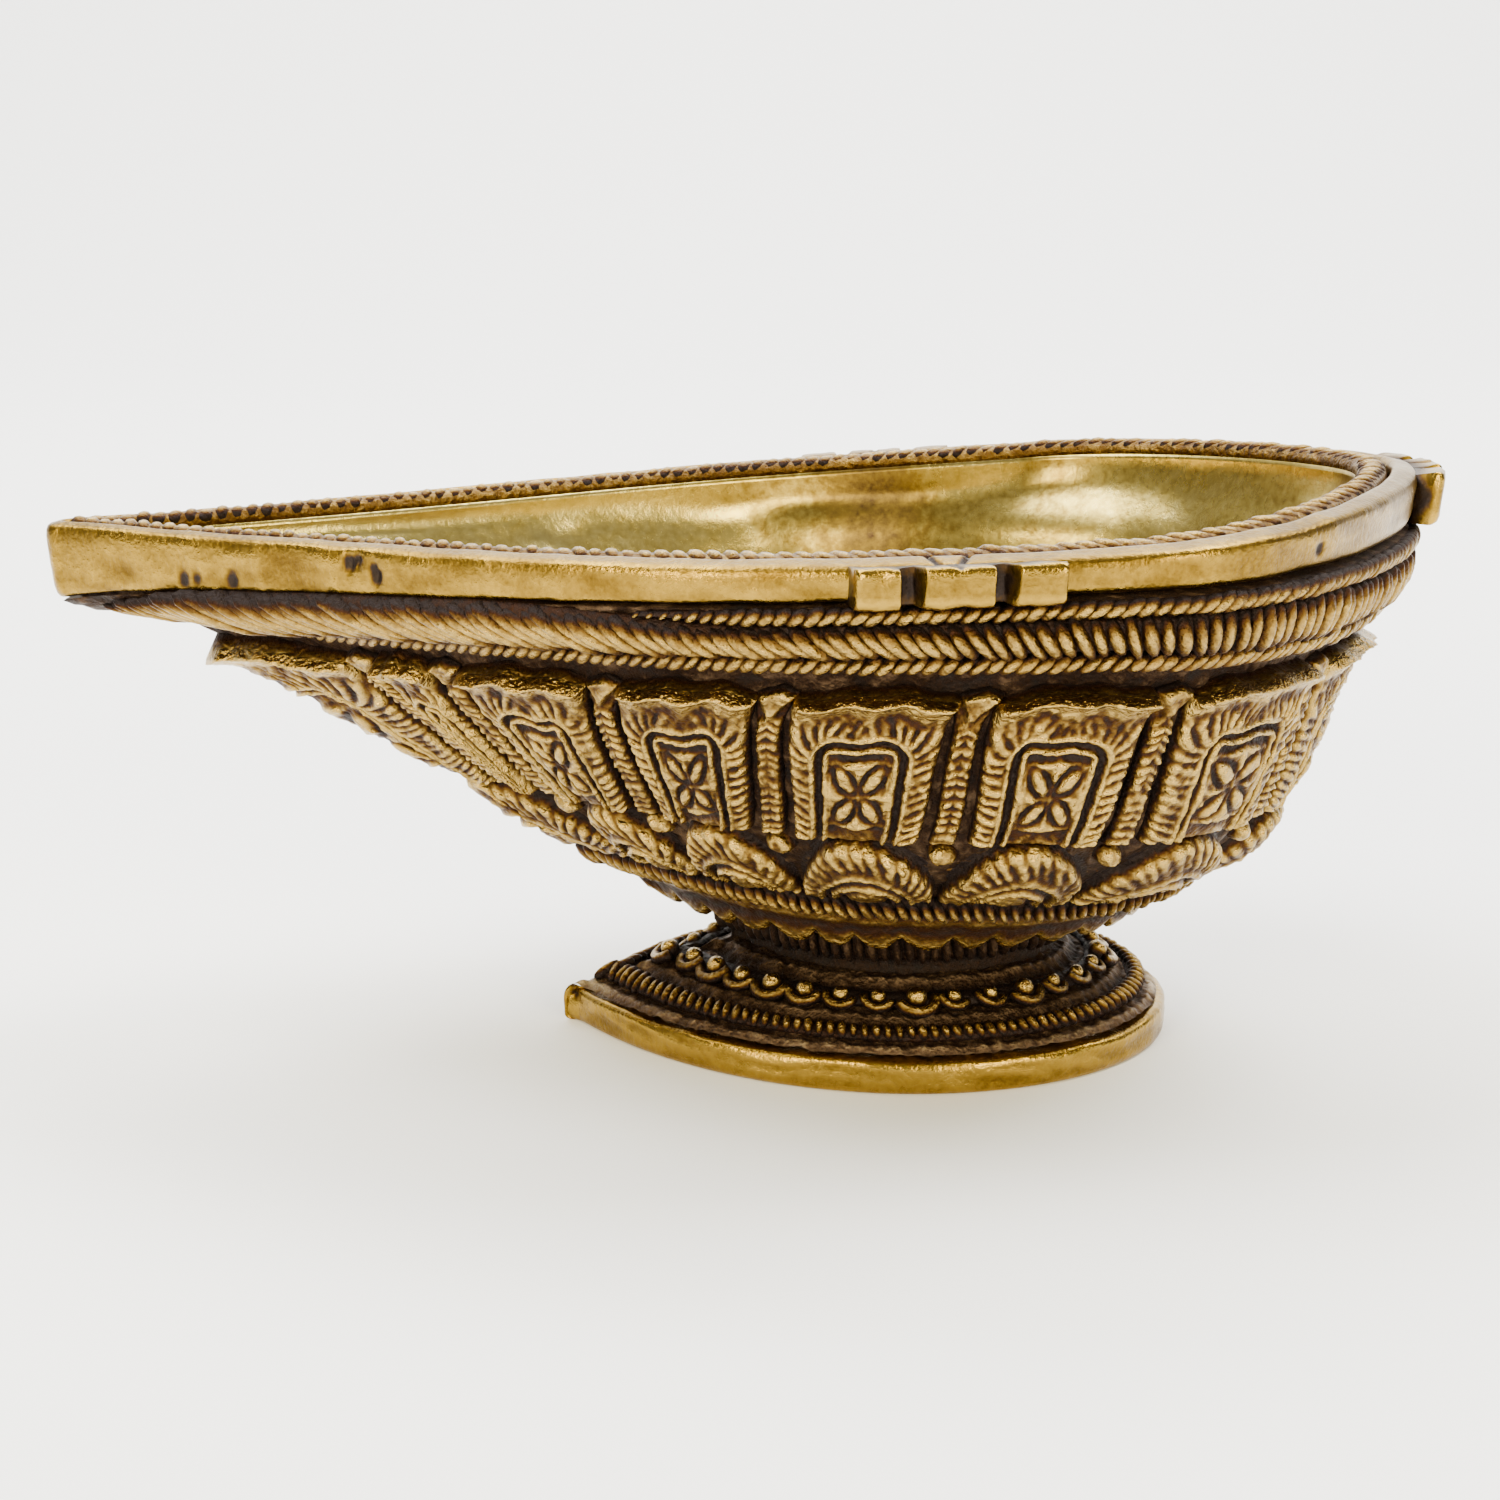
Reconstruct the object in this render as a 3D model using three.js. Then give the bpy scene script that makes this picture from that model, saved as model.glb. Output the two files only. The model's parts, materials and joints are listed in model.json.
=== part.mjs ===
// Diya: a leaf-shaped oil lamp in cast brass, with chased petals round the bowl and a hollow flared foot.
// Millimetres, +Z up. The spout points along -X and the object is symmetric about the XZ plane.
// The origin is on the floor, under the middle of the object's box.
import * as THREE from "three";

// ---- clearances and walls
const FIT_GAP = 0.3; // between any two pieces that seat on each other
const BOWL_WALL = 3; // cast wall of the oil bowl
const FOOT_WALL = 2.2; // cast wall of the flared foot

// ---- overall sizes: tip and rear are an outline's ends in X, half its half width, wide the X of its widest
// place and nose the half width of its blunt tip
const RIM_OUTLINE = { tip: -73.9, rear: 71.1, half: 44, wide: 34.6, nose: 2 };
const SEAT_OUTLINE = { tip: -7, rear: 41.6, half: 17, wide: 17.5, nose: 1 }; // where the bowl meets its neck
const RIM_Z = { tip: 56.8, side: 60, rear: 62.8 };
const BAND_FOOT_Z = { tip: 48.3, side: 55.9, rear: 57 };
const SEAT_Z = 14.8;

// ---- the bowl, as a hull of levels. Each has a height at the spout, the side and the rear, and says how far
// its outline reaches from the seat's (0) to the rim's (1). full runs from the rim's slim leaf (0) to the
// foot's rounder one (1), and rise shapes the climb in height from the spout to the side.
const HULL = [
  { name: "rim", z: RIM_Z, reach: { tip: 1, half: 1, rear: 1 }, full: 0, rise: 2 },
  { name: "band_foot", z: BAND_FOOT_Z, reach: { tip: 0.988, half: 0.985, rear: 0.983 }, full: 0, rise: 0.65 },
  { name: "rope_foot", z: { tip: 46.3, side: 49, rear: 48.2 },
    reach: { tip: 0.798, half: 0.889, rear: 0.841 }, full: 0.1, rise: 0.8 },
  { name: "recess", z: { tip: 45, side: 47.2, rear: 46.6 },
    reach: { tip: 0.753, half: 0.822, rear: 0.793 }, full: 0.1, rise: 1 },
  { name: "petal_foot", z: { tip: 29, side: 30, rear: 27.6 },
    reach: { tip: 0.332, half: 0.578, rear: 0.532 }, full: 0.4, rise: 1 },
  { name: "lower_foot", z: { tip: 21.6, side: 22.4, rear: 20.4 },
    reach: { tip: 0.17, half: 0.311, rear: 0.285 }, full: 0.6, rise: 1 },
  { name: "seat", z: { tip: SEAT_Z, side: SEAT_Z, rear: SEAT_Z },
    reach: { tip: 0, half: 0, rear: 0 }, full: 1, rise: 1 },
];
const RIM = 0;
const BAND_FOOT = 1;
const ROPE_FOOT = 2;
const RECESS = 3;
const PETAL_FOOT = 4;
const LOWER_FOOT = 5;
const SEAT = 6;

// ---- outline handles, as shares of the stretch they shape, for the slim leaf and the round one
const SLIM = { tipX: 0.487, tipY: 0.64, side: 0.428, rearX: 0.48, rearY: 0.28 };
const ROUND = { tipX: 0.266, tipY: 0.7, side: 0.333, rearX: 0.552, rearY: 0.552 };
const NOSE_LENGTH = 1.6; // how far behind the very tip the rounded nose runs into the flank
const NOSE_SHARE = 0.011; // share of the half outline that the nose takes

// ---- the rim
const RIM_WIDTH = 6.5; // across the top of the rim, round the bowl
const SPOUT_WALL = 5; // the same, measured along X at the spout's tip
const BAND_THICK = 3; // polished band, radially
const BAND_BEVEL = 0.7; // fall of the band's sloping top to its outer face
const TOP_ROPE_HEIGHT = 1.7;
const TOP_ROPE_PROUD = 0.3; // how far the rope's crest stands over the rim line

// ---- lugs on the band: three blocks with a groove on either side of the middle one
const LUG_LENGTH = 18;
const LUG_PROUD = 2.8;
const LUG_GROOVE = { at: 4, width: 1.7, left: 0.8 }; // its middle from the lug's, its width, metal left
const LUG_OVER = 0.2; // how far it stands above the band's outer edge
const LUG_UNDER = 0.3; // and below the band's foot
const SIDE_LUG_X = 17;

// ---- ropes under the band: place between band foot (0) and rope foot (1), half height there, and proud
const UPPER_ROPE = { at: 0.17, half: 0.07, proud: 1.1, from: 0.4 };
const MAIN_ROPE = { at: 0.5, half: 0.21, proud: 1.9, from: 0.03 };
const LOWER_ROPE = { at: 0.86, half: 0.1, proud: 1.2, from: 0.08 };
const ROPE_TAPER = 0.07; // share of the half outline over which an end thins out
const ROPE_END = 0.35; // thickness left at an end

// ---- petals: the ribs stand at these shares of the half outline, from the spout's tip (0) to the rear (1),
// and one more stands on the rear itself
const RIB_SHARES = [0.138, 0.212, 0.34, 0.458, 0.579, 0.695, 0.845];
const RIB_WIDTH = 2.4;
const RIB_PROUD = 1.1;
const PETAL_PLAY = 0.7; // between a petal's edge and the rib beside it
const PETAL_THICK = 1.3;
const PETAL_CROWN = 0.5; // more thickness along the middle
const PETAL_FLARE = 2; // and more again at the turned-out tip
const PETAL_NARROW = 0.86; // width at the foot as a share of the width at the tip
const PETAL_TOP = 0.04; // top of the tip, between recess (0) and petal foot (1)
const PETAL_SHOULDER = 0.09; // how much lower its corners are
const PETAL_END = 0.97; // its foot
const LEAN = 0.75; // how strongly the petals' lines draw together towards the keel, at the petals' foot

// ---- mound petals of the lower tier
const MOUND_THICK = 1.1;
const MOUND_CROWN = 1.5;
const MOUND_FILL = 0.93; // width as a share of its bay
const MOUND_TOP = 0.03; // between petal foot (0) and lower foot (1)
const MOUND_END = 0.95;
const MOUND_SHOULDER = 0.3; // height of its ends as a share of its own height

// ---- rings under the petals, placed between lower foot (0) and seat (1)
const BASE_ROPE = { at: 0.16, half: 0.12, proud: 1.5 };
const SCALLOP = { at: 0.62, half: 0.3, proud: 1, wave: 0.5, waves: 18 };

// ---- the foot
const NECK = { tip: -1.6, rear: 34.8, half: 12.6, wide: 17, nose: 1, full: 1 };
const FOOT = { tip: -20.2, rear: 47.1, half: 23.3, wide: 18, nose: 1, full: 1 };
const COVER_TOP_Z = 9.6;
const FOOT_BAND_Z = 3.8; // height of the polished foot band
const FOOT_BAND_WIDTH = 4;
const FOOT_BAND_ROUND = 0.9; // rounding of its outer edges
const COVER_INSET = 1.1; // the cover's edge behind the band's face
const NECK_ROPE = { z: 13.2, half: 1.25, proud: 1.5 };
const BEAD_ROW = { at: 0.36, half: 0.09, proud: 1 };
const FOOT_ROPE = { at: 0.76, half: 0.08, proud: 0.9 };

// ---- how finely the model is cut
const FLANK_STATIONS = 12; // along one flank, from the nose to the shoulder
const FLANK_SHARE = 0.6; // share of the half outline where the shoulder starts
const REAR_STATIONS = 13; // from the shoulder to the rear
const PETAL_COLUMNS = 6;
const PETAL_ROWS = 5;
const RIB_ROWS = 3;
const MOUND_COLUMNS = 6;
const MOUND_ROWS = 3;

const BRASS = {
  polished: { color: 0xc9a550, roughness: 0.28, metalness: 1 },
  smooth: { color: 0xb8923f, roughness: 0.35, metalness: 1 },
  chased: { color: 0xa07a34, roughness: 0.5, metalness: 1 },
  dark: { color: 0x5f451c, roughness: 0.6, metalness: 1 },
};

const group = new THREE.Group();

function addPiece(name, finish, geometry) {
  const material = new THREE.MeshStandardMaterial(BRASS[finish]);
  const mesh = new THREE.Mesh(geometry, material);
  mesh.name = name;
  group.add(mesh);
}

// ---- outlines

const mix = THREE.MathUtils.lerp;

const LEVELS = HULL.map(({ z, reach, full, rise }) => {
  const from = (key, share) => mix(SEAT_OUTLINE[key], RIM_OUTLINE[key], share);
  return {
    tip: from("tip", reach.tip),
    rear: from("rear", reach.rear),
    half: from("half", reach.half),
    wide: from("wide", reach.half),
    nose: from("nose", reach.half),
    full,
    rise,
    z,
  };
});

// Catmull-Rom through equally spaced values, at place w.
function along(values, w) {
  const i = Math.min(Math.floor(w), values.length - 2);
  const t = w - i;
  const at = (k) => values[Math.max(0, Math.min(values.length - 1, k))];
  const [a, b, c, d] = [at(i - 1), at(i), at(i + 1), at(i + 2)];
  return b + 0.5 * t * (c - a + t * (2 * a - 5 * b + 4 * c - d + t * (3 * (b - c) + d - a)));
}

const pick = (w, read) => along(LEVELS.map(read), w);

// The profile (reach, height) at the tip, the side or the rear, moved out by a distance across the profile.
function profile(w, reach, height, out) {
  const step = 0.02;
  const last = LEVELS.length - 1;
  const a = Math.max(0, w - step);
  const b = Math.min(last, w + step);
  const dr = pick(b, reach) - pick(a, reach);
  const dz = pick(b, height) - pick(a, height);
  const length = Math.hypot(dr, dz);
  return { reach: pick(w, reach) - (out * dz) / length, z: pick(w, height) + (out * dr) / length };
}

// The hull's level w (a number between the levels' own), moved out by a distance.
function level(w, out = 0) {
  const tip = profile(w, (l) => -l.tip, (l) => l.z.tip, out);
  const side = profile(w, (l) => l.half, (l) => l.z.side, out);
  const rear = profile(w, (l) => l.rear, (l) => l.z.rear, out);
  return {
    tip: -tip.reach,
    rear: rear.reach,
    half: side.reach,
    wide: pick(w, (l) => l.wide),
    nose: Math.max(0.4, pick(w, (l) => l.nose) + out / 2),
    full: pick(w, (l) => l.full),
    rise: pick(w, (l) => l.rise),
    z: { tip: tip.z, side: side.z, rear: rear.z },
  };
}

// Half of a level's outline, from the tip round the +Y side to the rear.
function halfPath(l) {
  const h = {};
  for (const key of Object.keys(SLIM)) h[key] = mix(SLIM[key], ROUND[key], l.full);
  const length = l.wide - l.tip - NOSE_LENGTH;
  const tail = l.rear - l.wide;
  const flank = l.half - l.nose;
  const slope = (h.tipY * flank) / (h.tipX * length);
  const path = new THREE.Path();
  path.moveTo(l.tip, 0);
  path.quadraticCurveTo(l.tip, l.nose - slope * NOSE_LENGTH * 0.5, l.tip + NOSE_LENGTH, l.nose);
  path.bezierCurveTo(
    l.tip + NOSE_LENGTH + h.tipX * length, l.nose + h.tipY * flank,
    l.wide - h.side * length, l.half,
    l.wide, l.half,
  );
  path.bezierCurveTo(l.wide + h.rearX * tail, l.half, l.rear, h.rearY * l.half, l.rear, 0);
  return path;
}

// Height of a level's outline at X: from the tip to the widest place, then on to the rear.
function heightAt(l, x) {
  if (x > l.wide) return mix(l.z.side, l.z.rear, (x - l.wide) / (l.rear - l.wide));
  const climb = Math.max(0, (x - l.tip) / (l.wide - l.tip));
  return mix(l.z.tip, l.z.side, climb ** l.rise);
}

// A point of a level's outline: share 0 is the tip, 1 the rear, and a negative share is the -Y side.
function pointOn(l, share) {
  const turned = share > 1 ? share - 2 : share;
  const p = halfPath(l).getPoint(Math.min(1, Math.abs(turned)));
  return new THREE.Vector3(p.x, Math.sign(turned) * p.y, heightAt(l, p.x));
}

// Shares right round the outline: the nose, then the flank, and closer together round the rear.
function roundShares(finer = 1) {
  const half = [NOSE_SHARE];
  const flank = FLANK_STATIONS * finer;
  const rear = REAR_STATIONS * finer;
  for (let i = 1; i <= flank; i++) half.push((FLANK_SHARE * i) / flank);
  for (let i = 1; i < rear; i++) half.push(mix(FLANK_SHARE, 1, i / rear));
  return [0, ...half, 1, ...half.map((s) => -s).reverse()];
}

const flat = (l, z) => ({ ...l, z: { tip: z, side: z, rear: z }, rise: 1 });

// An outline drawn in by a distance at the sides and rear, and by a distance of its own at the tip.
function drawnIn(l, side, tip) {
  return {
    ...l,
    tip: l.tip + tip,
    rear: l.rear - side,
    half: l.half - side,
    nose: Math.max(0.4, l.nose - side / 4),
  };
}

const lowered = (l, fall) => ({
  ...l,
  z: { tip: l.z.tip - fall, side: l.z.side - fall, rear: l.z.rear - fall },
});

// ---- solids from rows of points

function solid(points, faces) {
  const geometry = new THREE.BufferGeometry().setFromPoints(points);
  geometry.setIndex(faces.flat());
  geometry.computeVertexNormals();
  return geometry;
}

// Joins each row of points to the next. Both ways can be closed.
function weave(rows, closedRows, closedPoints) {
  const faces = [];
  const wide = rows[0].length;
  const last = closedRows ? rows.length : rows.length - 1;
  const lastPoint = closedPoints ? wide : wide - 1;
  for (let j = 0; j < last; j++) {
    for (let i = 0; i < lastPoint; i++) {
      const a = j * wide + i;
      const b = j * wide + ((i + 1) % wide);
      const c = ((j + 1) % rows.length) * wide + i;
      const d = ((j + 1) % rows.length) * wide + ((i + 1) % wide);
      faces.push([a, b, d], [a, d, c]);
    }
  }
  return faces;
}

const middle = (row) => row.reduce((sum, p) => sum.add(p), new THREE.Vector3()).divideScalar(row.length);

// A ring: its section's rows run right round and close on themselves, outer face first, going down.
function ringSolid(levels) {
  const shares = roundShares();
  const rows = levels.map((l) => shares.map((s) => pointOn(l, s)));
  return solid(rows.flat(), weave(rows, true, true));
}

// A closed vessel: rows from the middle of its upper side, over the edge, to the middle of the lower side.
function vesselSolid(levels) {
  const shares = roundShares();
  const rows = levels.map((l) => shares.map((s) => pointOn(l, s)));
  const faces = weave(rows, false, true);
  const points = rows.flat();
  const count = shares.length;
  const first = points.push(middle(rows[0])) - 1;
  const last = points.push(middle(rows[rows.length - 1])) - 1;
  const start = (rows.length - 1) * count;
  for (let i = 0; i < count; i++) {
    faces.push([first, (i + 1) % count, i], [last, start + i, start + ((i + 1) % count)]);
  }
  return solid(points, faces);
}

// A bar: sections along a path, each a closed loop of points, with flat ends.
function barSolid(sections) {
  const faces = weave(sections, false, true);
  const points = sections.flat();
  const count = sections[0].length;
  const first = points.push(middle(sections[0])) - 1;
  const last = points.push(middle(sections[sections.length - 1])) - 1;
  const start = (sections.length - 1) * count;
  for (let i = 0; i < count; i++) {
    faces.push([first, (i + 1) % count, i], [last, start + i, start + ((i + 1) % count)]);
  }
  return solid(points, faces);
}

// ---- the rim and the bowl

// The rim's outline, or the band's foot, drawn in by a distance across the rim and lowered.
function rimRow(inset, fall, w = RIM) {
  return lowered(drawnIn(level(w), inset, (inset * SPOUT_WALL) / RIM_WIDTH), fall);
}

const ropeOuter = BAND_THICK + FIT_GAP;
const ropeFall = TOP_ROPE_HEIGHT - TOP_ROPE_PROUD;
const lipFall = ropeFall + FIT_GAP;

function oilBowl() {
  const up = [SEAT - 0.3, LOWER_FOOT, 4.4, 3.8, 3.2, 2.6, ROPE_FOOT - 0.1];
  const underBand = BAND_FOOT + 0.08;
  const down = [underBand, 1.5, ROPE_FOOT, RECESS, 3.5, PETAL_FOOT, 4.5, LOWER_FOOT, 5.5, SEAT];
  return vesselSolid([
    ...up.map((w) => level(w, -BOWL_WALL)),
    rimRow(RIM_WIDTH, lipFall + BOWL_WALL),
    rimRow(RIM_WIDTH, lipFall),
    rimRow(ropeOuter, lipFall),
    rimRow(ropeOuter, FIT_GAP, BAND_FOOT),
    ...down.map((w) => level(w)),
  ]);
}

function rimBand() {
  return ringSolid([
    rimRow(0, BAND_BEVEL),
    rimRow(0, 0, BAND_FOOT),
    rimRow(BAND_THICK, 0, BAND_FOOT),
    rimRow(BAND_THICK, 0),
  ]);
}

function rimTopRope() {
  const crest = (share) => rimRow(mix(ropeOuter, RIM_WIDTH, share), -TOP_ROPE_PROUD);
  return ringSolid([
    rimRow(ropeOuter, 0),
    rimRow(ropeOuter, ropeFall),
    rimRow(RIM_WIDTH, ropeFall),
    rimRow(RIM_WIDTH, 0),
    crest(0.7),
    crest(0.3),
  ]);
}

const halfLength = (l) => halfPath(l).getLength();

// The share at which a level's outline reaches an X between its tip and its widest place.
function shareAtX(l, x) {
  let low = 0;
  let high = 1;
  for (let i = 0; i < 24; i++) {
    const share = (low + high) / 2;
    if (pointOn(l, share).x < x) low = share;
    else high = share;
  }
  return low;
}

// A lug follows the band's outline. Its face steps back in the two grooves.
function lug(middleShare) {
  const inner = LUG_GROOVE.at - LUG_GROOVE.width / 2;
  const outer = LUG_GROOVE.at + LUG_GROOVE.width / 2;
  const side = [[0, LUG_PROUD], [inner, LUG_PROUD], [inner + 0.1, LUG_GROOVE.left],
    [outer - 0.1, LUG_GROOVE.left], [outer, LUG_PROUD], [LUG_LENGTH / 2, LUG_PROUD]];
  const stations = [...side.slice(1).reverse().map(([at, proud]) => [-at, proud]), ...side];
  const length = halfLength(level(RIM));
  return barSolid(stations.map(([at, proud]) => {
    const share = middleShare + at / length;
    const top = (out) => pointOn(rimRow(-out, BAND_BEVEL - LUG_OVER), share);
    const foot = (out) => pointOn(rimRow(-out, LUG_UNDER, BAND_FOOT), share);
    return [top(FIT_GAP), foot(FIT_GAP), foot(proud), top(proud)];
  }));
}

addPiece("oil_bowl", "smooth", oilBowl());
addPiece("rim_band", "polished", rimBand());
addPiece("rim_top_rope", "chased", rimTopRope());
const sideLugShare = shareAtX(level(RIM), SIDE_LUG_X);
addPiece("lug_left", "polished", lug(sideLugShare));
addPiece("lug_right", "polished", lug(-sideLugShare));
addPiece("lug_rear", "polished", lug(1));

// ---- ropes under the band

// A rope runs from its start on the +Y side, round the rear, to the same place on the -Y side.
function sideRope({ at, half, proud, from }) {
  const sections = [];
  const round = roundShares().map((share) => (share < 0 ? share + 2 : share));
  const between = round.filter((share) => share > from && share < 2 - from);
  for (const share of [from, ...between, 2 - from]) {
    const fromEnd = Math.min(share - from, 2 - from - share) / ROPE_TAPER;
    const full = mix(ROPE_END, 1, Math.min(1, fromEnd));
    const edge = (place, out) =>
      pointOn(level(BAND_FOOT + at + place * half * full, FIT_GAP + out * full), share);
    sections.push([edge(-1, 0), edge(1, 0), edge(1, proud * 0.5), edge(0.45, proud),
      edge(-0.45, proud), edge(-1, proud * 0.5)]);
  }
  return barSolid(sections);
}

addPiece("upper_rope", "chased", sideRope(UPPER_ROPE));
addPiece("main_rope", "chased", sideRope(MAIN_ROPE));
addPiece("lower_rope", "chased", sideRope(LOWER_ROPE));

// ---- petals, ribs and mounds

// The line that starts at a share of the recess's outline draws in towards the keel on its way down.
function leanShare(start, w) {
  const pull = LEAN * THREE.MathUtils.clamp(w - RECESS, 0, PETAL_FOOT - RECESS);
  const share = start > 1 ? 2 - start : start;
  const leaned = share * (1 - pull * (1 - Math.abs(share)) ** 2);
  return start > 1 ? 2 - leaned : leaned;
}

// The bay between two ribs at level w: its middle and half width, as shares.
function bay(first, second, w) {
  const a = leanShare(first, w);
  const b = leanShare(second, w);
  return { middle: (a + b) / 2, half: (b - a) / 2, length: halfLength(level(w)) };
}

// Places across a piece, from one edge (-1) to the other (1). A piece on the keel takes the nose in too.
function across(columns, onKeel) {
  const places = [];
  for (let i = 0; i <= columns; i++) places.push(mix(-1, 1, i / columns));
  if (!onKeel) return places;
  return [...places.filter((c) => c < -0.2), -0.1, 0, 0.1, ...places.filter((c) => c > 0.2)];
}

// A plate on the hull: shape(c, v) gives the share, level and thickness at place c across and v down.
function hullPlate(places, rows, shape) {
  return barSolid(places.map((c) => {
    const outer = [];
    const back = [];
    for (let j = 0; j <= rows; j++) {
      const { share, w, thick } = shape(c, j / rows);
      outer.push(pointOn(level(w, FIT_GAP + thick), share));
      back.push(pointOn(level(w, FIT_GAP), share));
    }
    return [...back, ...outer.reverse()];
  }));
}

function petal(first, second, onKeel) {
  const edge = RIB_WIDTH / 2 + PETAL_PLAY;
  return hullPlate(across(PETAL_COLUMNS, onKeel), PETAL_ROWS, (c, v) => {
    const top = PETAL_TOP + PETAL_SHOULDER * Math.abs(c) ** 3;
    const w = RECESS + mix(top, PETAL_END, v);
    const { middle: centre, half, length } = bay(first, second, w);
    const width = (half - edge / length) * mix(1, PETAL_NARROW, v);
    const flare = PETAL_FLARE * Math.max(0, 1 - v * 4) ** 2;
    return { share: centre + c * width, w, thick: PETAL_THICK + PETAL_CROWN * (1 - c * c) + flare };
  });
}

function mound(first, second, onKeel) {
  return hullPlate(across(MOUND_COLUMNS, onKeel), MOUND_ROWS, (c, v) => {
    const arch = mix(MOUND_SHOULDER, 1, Math.sqrt(1 - c * c));
    const top = mix(MOUND_END, MOUND_TOP, arch);
    const w = PETAL_FOOT + mix(top, MOUND_END, v);
    const { middle: centre, half } = bay(first, second, w);
    const crown = MOUND_CROWN * (1 - c * c) * Math.sin(Math.PI * mix(0.2, 1, v));
    return { share: centre + c * half * MOUND_FILL, w, thick: MOUND_THICK + crown };
  });
}

// A rib's top is cut to a point.
function rib(start) {
  return hullPlate([-1, 0, 1], RIB_ROWS, (c, v) => {
    const top = PETAL_TOP + PETAL_SHOULDER * Math.abs(c);
    const w = RECESS + mix(top, PETAL_END, v);
    const half = RIB_WIDTH / 2 / halfLength(level(w));
    return { share: leanShare(start, w) + c * half, w, thick: RIB_PROUD };
  });
}

// Ribs in order round the lamp: +Y side from the spout, over the rear, back along the -Y side.
const ribStarts = [...RIB_SHARES, 1, ...RIB_SHARES.map((s) => 2 - s).reverse()];
const keelRib = RIB_SHARES[0];
const nextRib = RIB_SHARES[1];
const numbered = (name, i) => `${name}_${String(i + 1).padStart(2, "0")}`;

addPiece("petal_keel", "chased", petal(-keelRib, keelRib, true));
addPiece("mound_keel", "chased", mound(-nextRib, nextRib, true));
ribStarts.forEach((start, i) => {
  const next = ribStarts[i + 1];
  addPiece(numbered("rib", i), "chased", rib(start));
  if (next) addPiece(numbered("petal", i), "chased", petal(start, next, false));
  // the two slim petals beside the keel share its mound
  if (start >= nextRib && next <= 2 - nextRib) {
    addPiece(numbered("mound", i), "chased", mound(start, next, false));
  }
});

// ---- rings under the petals

function hullRing({ at, half, proud, wave = 0, waves = 0 }, finer = 1) {
  const edges = [[-1, 0], [-0.5, 1], [0.5, 1], [1, 0]];
  const shares = roundShares(finer);
  const rows = edges.map(([place, height]) => shares.map((share) => {
    const swell = wave * Math.cos(Math.PI * waves * share);
    return pointOn(level(LOWER_FOOT + at + place * half, FIT_GAP + height * (proud + swell)), share);
  }));
  return solid(rows.flat(), weave(rows, true, true));
}

addPiece("base_rope", "chased", hullRing(BASE_ROPE));
addPiece("scalloped_edge", "chased", hullRing(SCALLOP, 2));

// ---- the foot

// A ring or stem outline at a height, grown by a distance all round.
const grown = (l, out) => drawnIn(l, -out, -out);

function stem() {
  return vesselSolid([flat(NECK, SEAT_Z - FIT_GAP), flat(NECK, COVER_TOP_Z + FIT_GAP)]);
}

function neckRope() {
  const row = (out, place) => flat(grown(NECK, out), NECK_ROPE.z + place * NECK_ROPE.half);
  return ringSolid([
    row(NECK_ROPE.proud, 0.45),
    row(NECK_ROPE.proud, -0.45),
    row(FIT_GAP, -1),
    row(FIT_GAP, 1),
  ]);
}

// The cover's outline at place t down its flare, from the neck (0) to the foot's edge (1).
const coverEdge = grown(FOOT, -COVER_INSET);
const coverFootZ = FOOT_BAND_Z + FIT_GAP;
const coverRun = coverEdge.half - NECK.half;
const coverSlope = Math.atan2(COVER_TOP_Z - coverFootZ, coverRun);

function coverRow(t, out = 0) {
  const l = { ...NECK };
  for (const key of ["tip", "rear", "half", "wide"]) l[key] = mix(NECK[key], coverEdge[key], t);
  const z = mix(COVER_TOP_Z, coverFootZ, t) + out * Math.cos(coverSlope);
  return flat(grown(l, out * Math.sin(coverSlope)), z);
}

function footCover() {
  const flare = [0, 0.25, 0.5, 0.75, 1];
  const inner = (t) => lowered(coverRow(t), FOOT_WALL / Math.cos(coverSlope));
  const underEdge = flat(grown(coverEdge, -FOOT_WALL / Math.sin(coverSlope)), coverFootZ);
  return vesselSolid([...flare.map((t) => coverRow(t)), underEdge, inner(0.3), inner(0)]);
}

function coverRing({ at, half, proud }) {
  return ringSolid([coverRow(at - half * 0.4, FIT_GAP + proud), coverRow(at + half * 0.4, FIT_GAP + proud),
    coverRow(at + half, FIT_GAP), coverRow(at - half, FIT_GAP)]);
}

function footBand() {
  const r = FOOT_BAND_ROUND;
  const row = (inset, z) => flat(grown(FOOT, -inset), z);
  return ringSolid([row(r, FOOT_BAND_Z), row(0, FOOT_BAND_Z - r), row(0, r), row(r, 0),
    row(FOOT_BAND_WIDTH, 0), row(FOOT_BAND_WIDTH, FOOT_BAND_Z)]);
}

addPiece("neck_stem", "dark", stem());
addPiece("neck_rope", "dark", neckRope());
addPiece("foot_cover", "dark", footCover());
addPiece("foot_bead_row", "dark", coverRing(BEAD_ROW));
addPiece("foot_rope", "dark", coverRing(FOOT_ROPE));
addPiece("foot_band", "polished", footBand());

export default group;
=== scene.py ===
# %% [markdown]
# # A cast brass diya, dressed on its CAD frame
# A diya is a small oil lamp: a leaf-shaped bowl with a spout for the wick, standing on a flared foot.
# This one is a lost-wax casting. Its ornament was rolled and cut in wax, set on the bowl, cast, and then
# chased with punches, and a century of oil has left brown patina wherever a cloth doesn't reach. The frame
# holds the plain solids at their real size. Each step below replaces some of them with the chased surface.

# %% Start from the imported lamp
import json
import math

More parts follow.
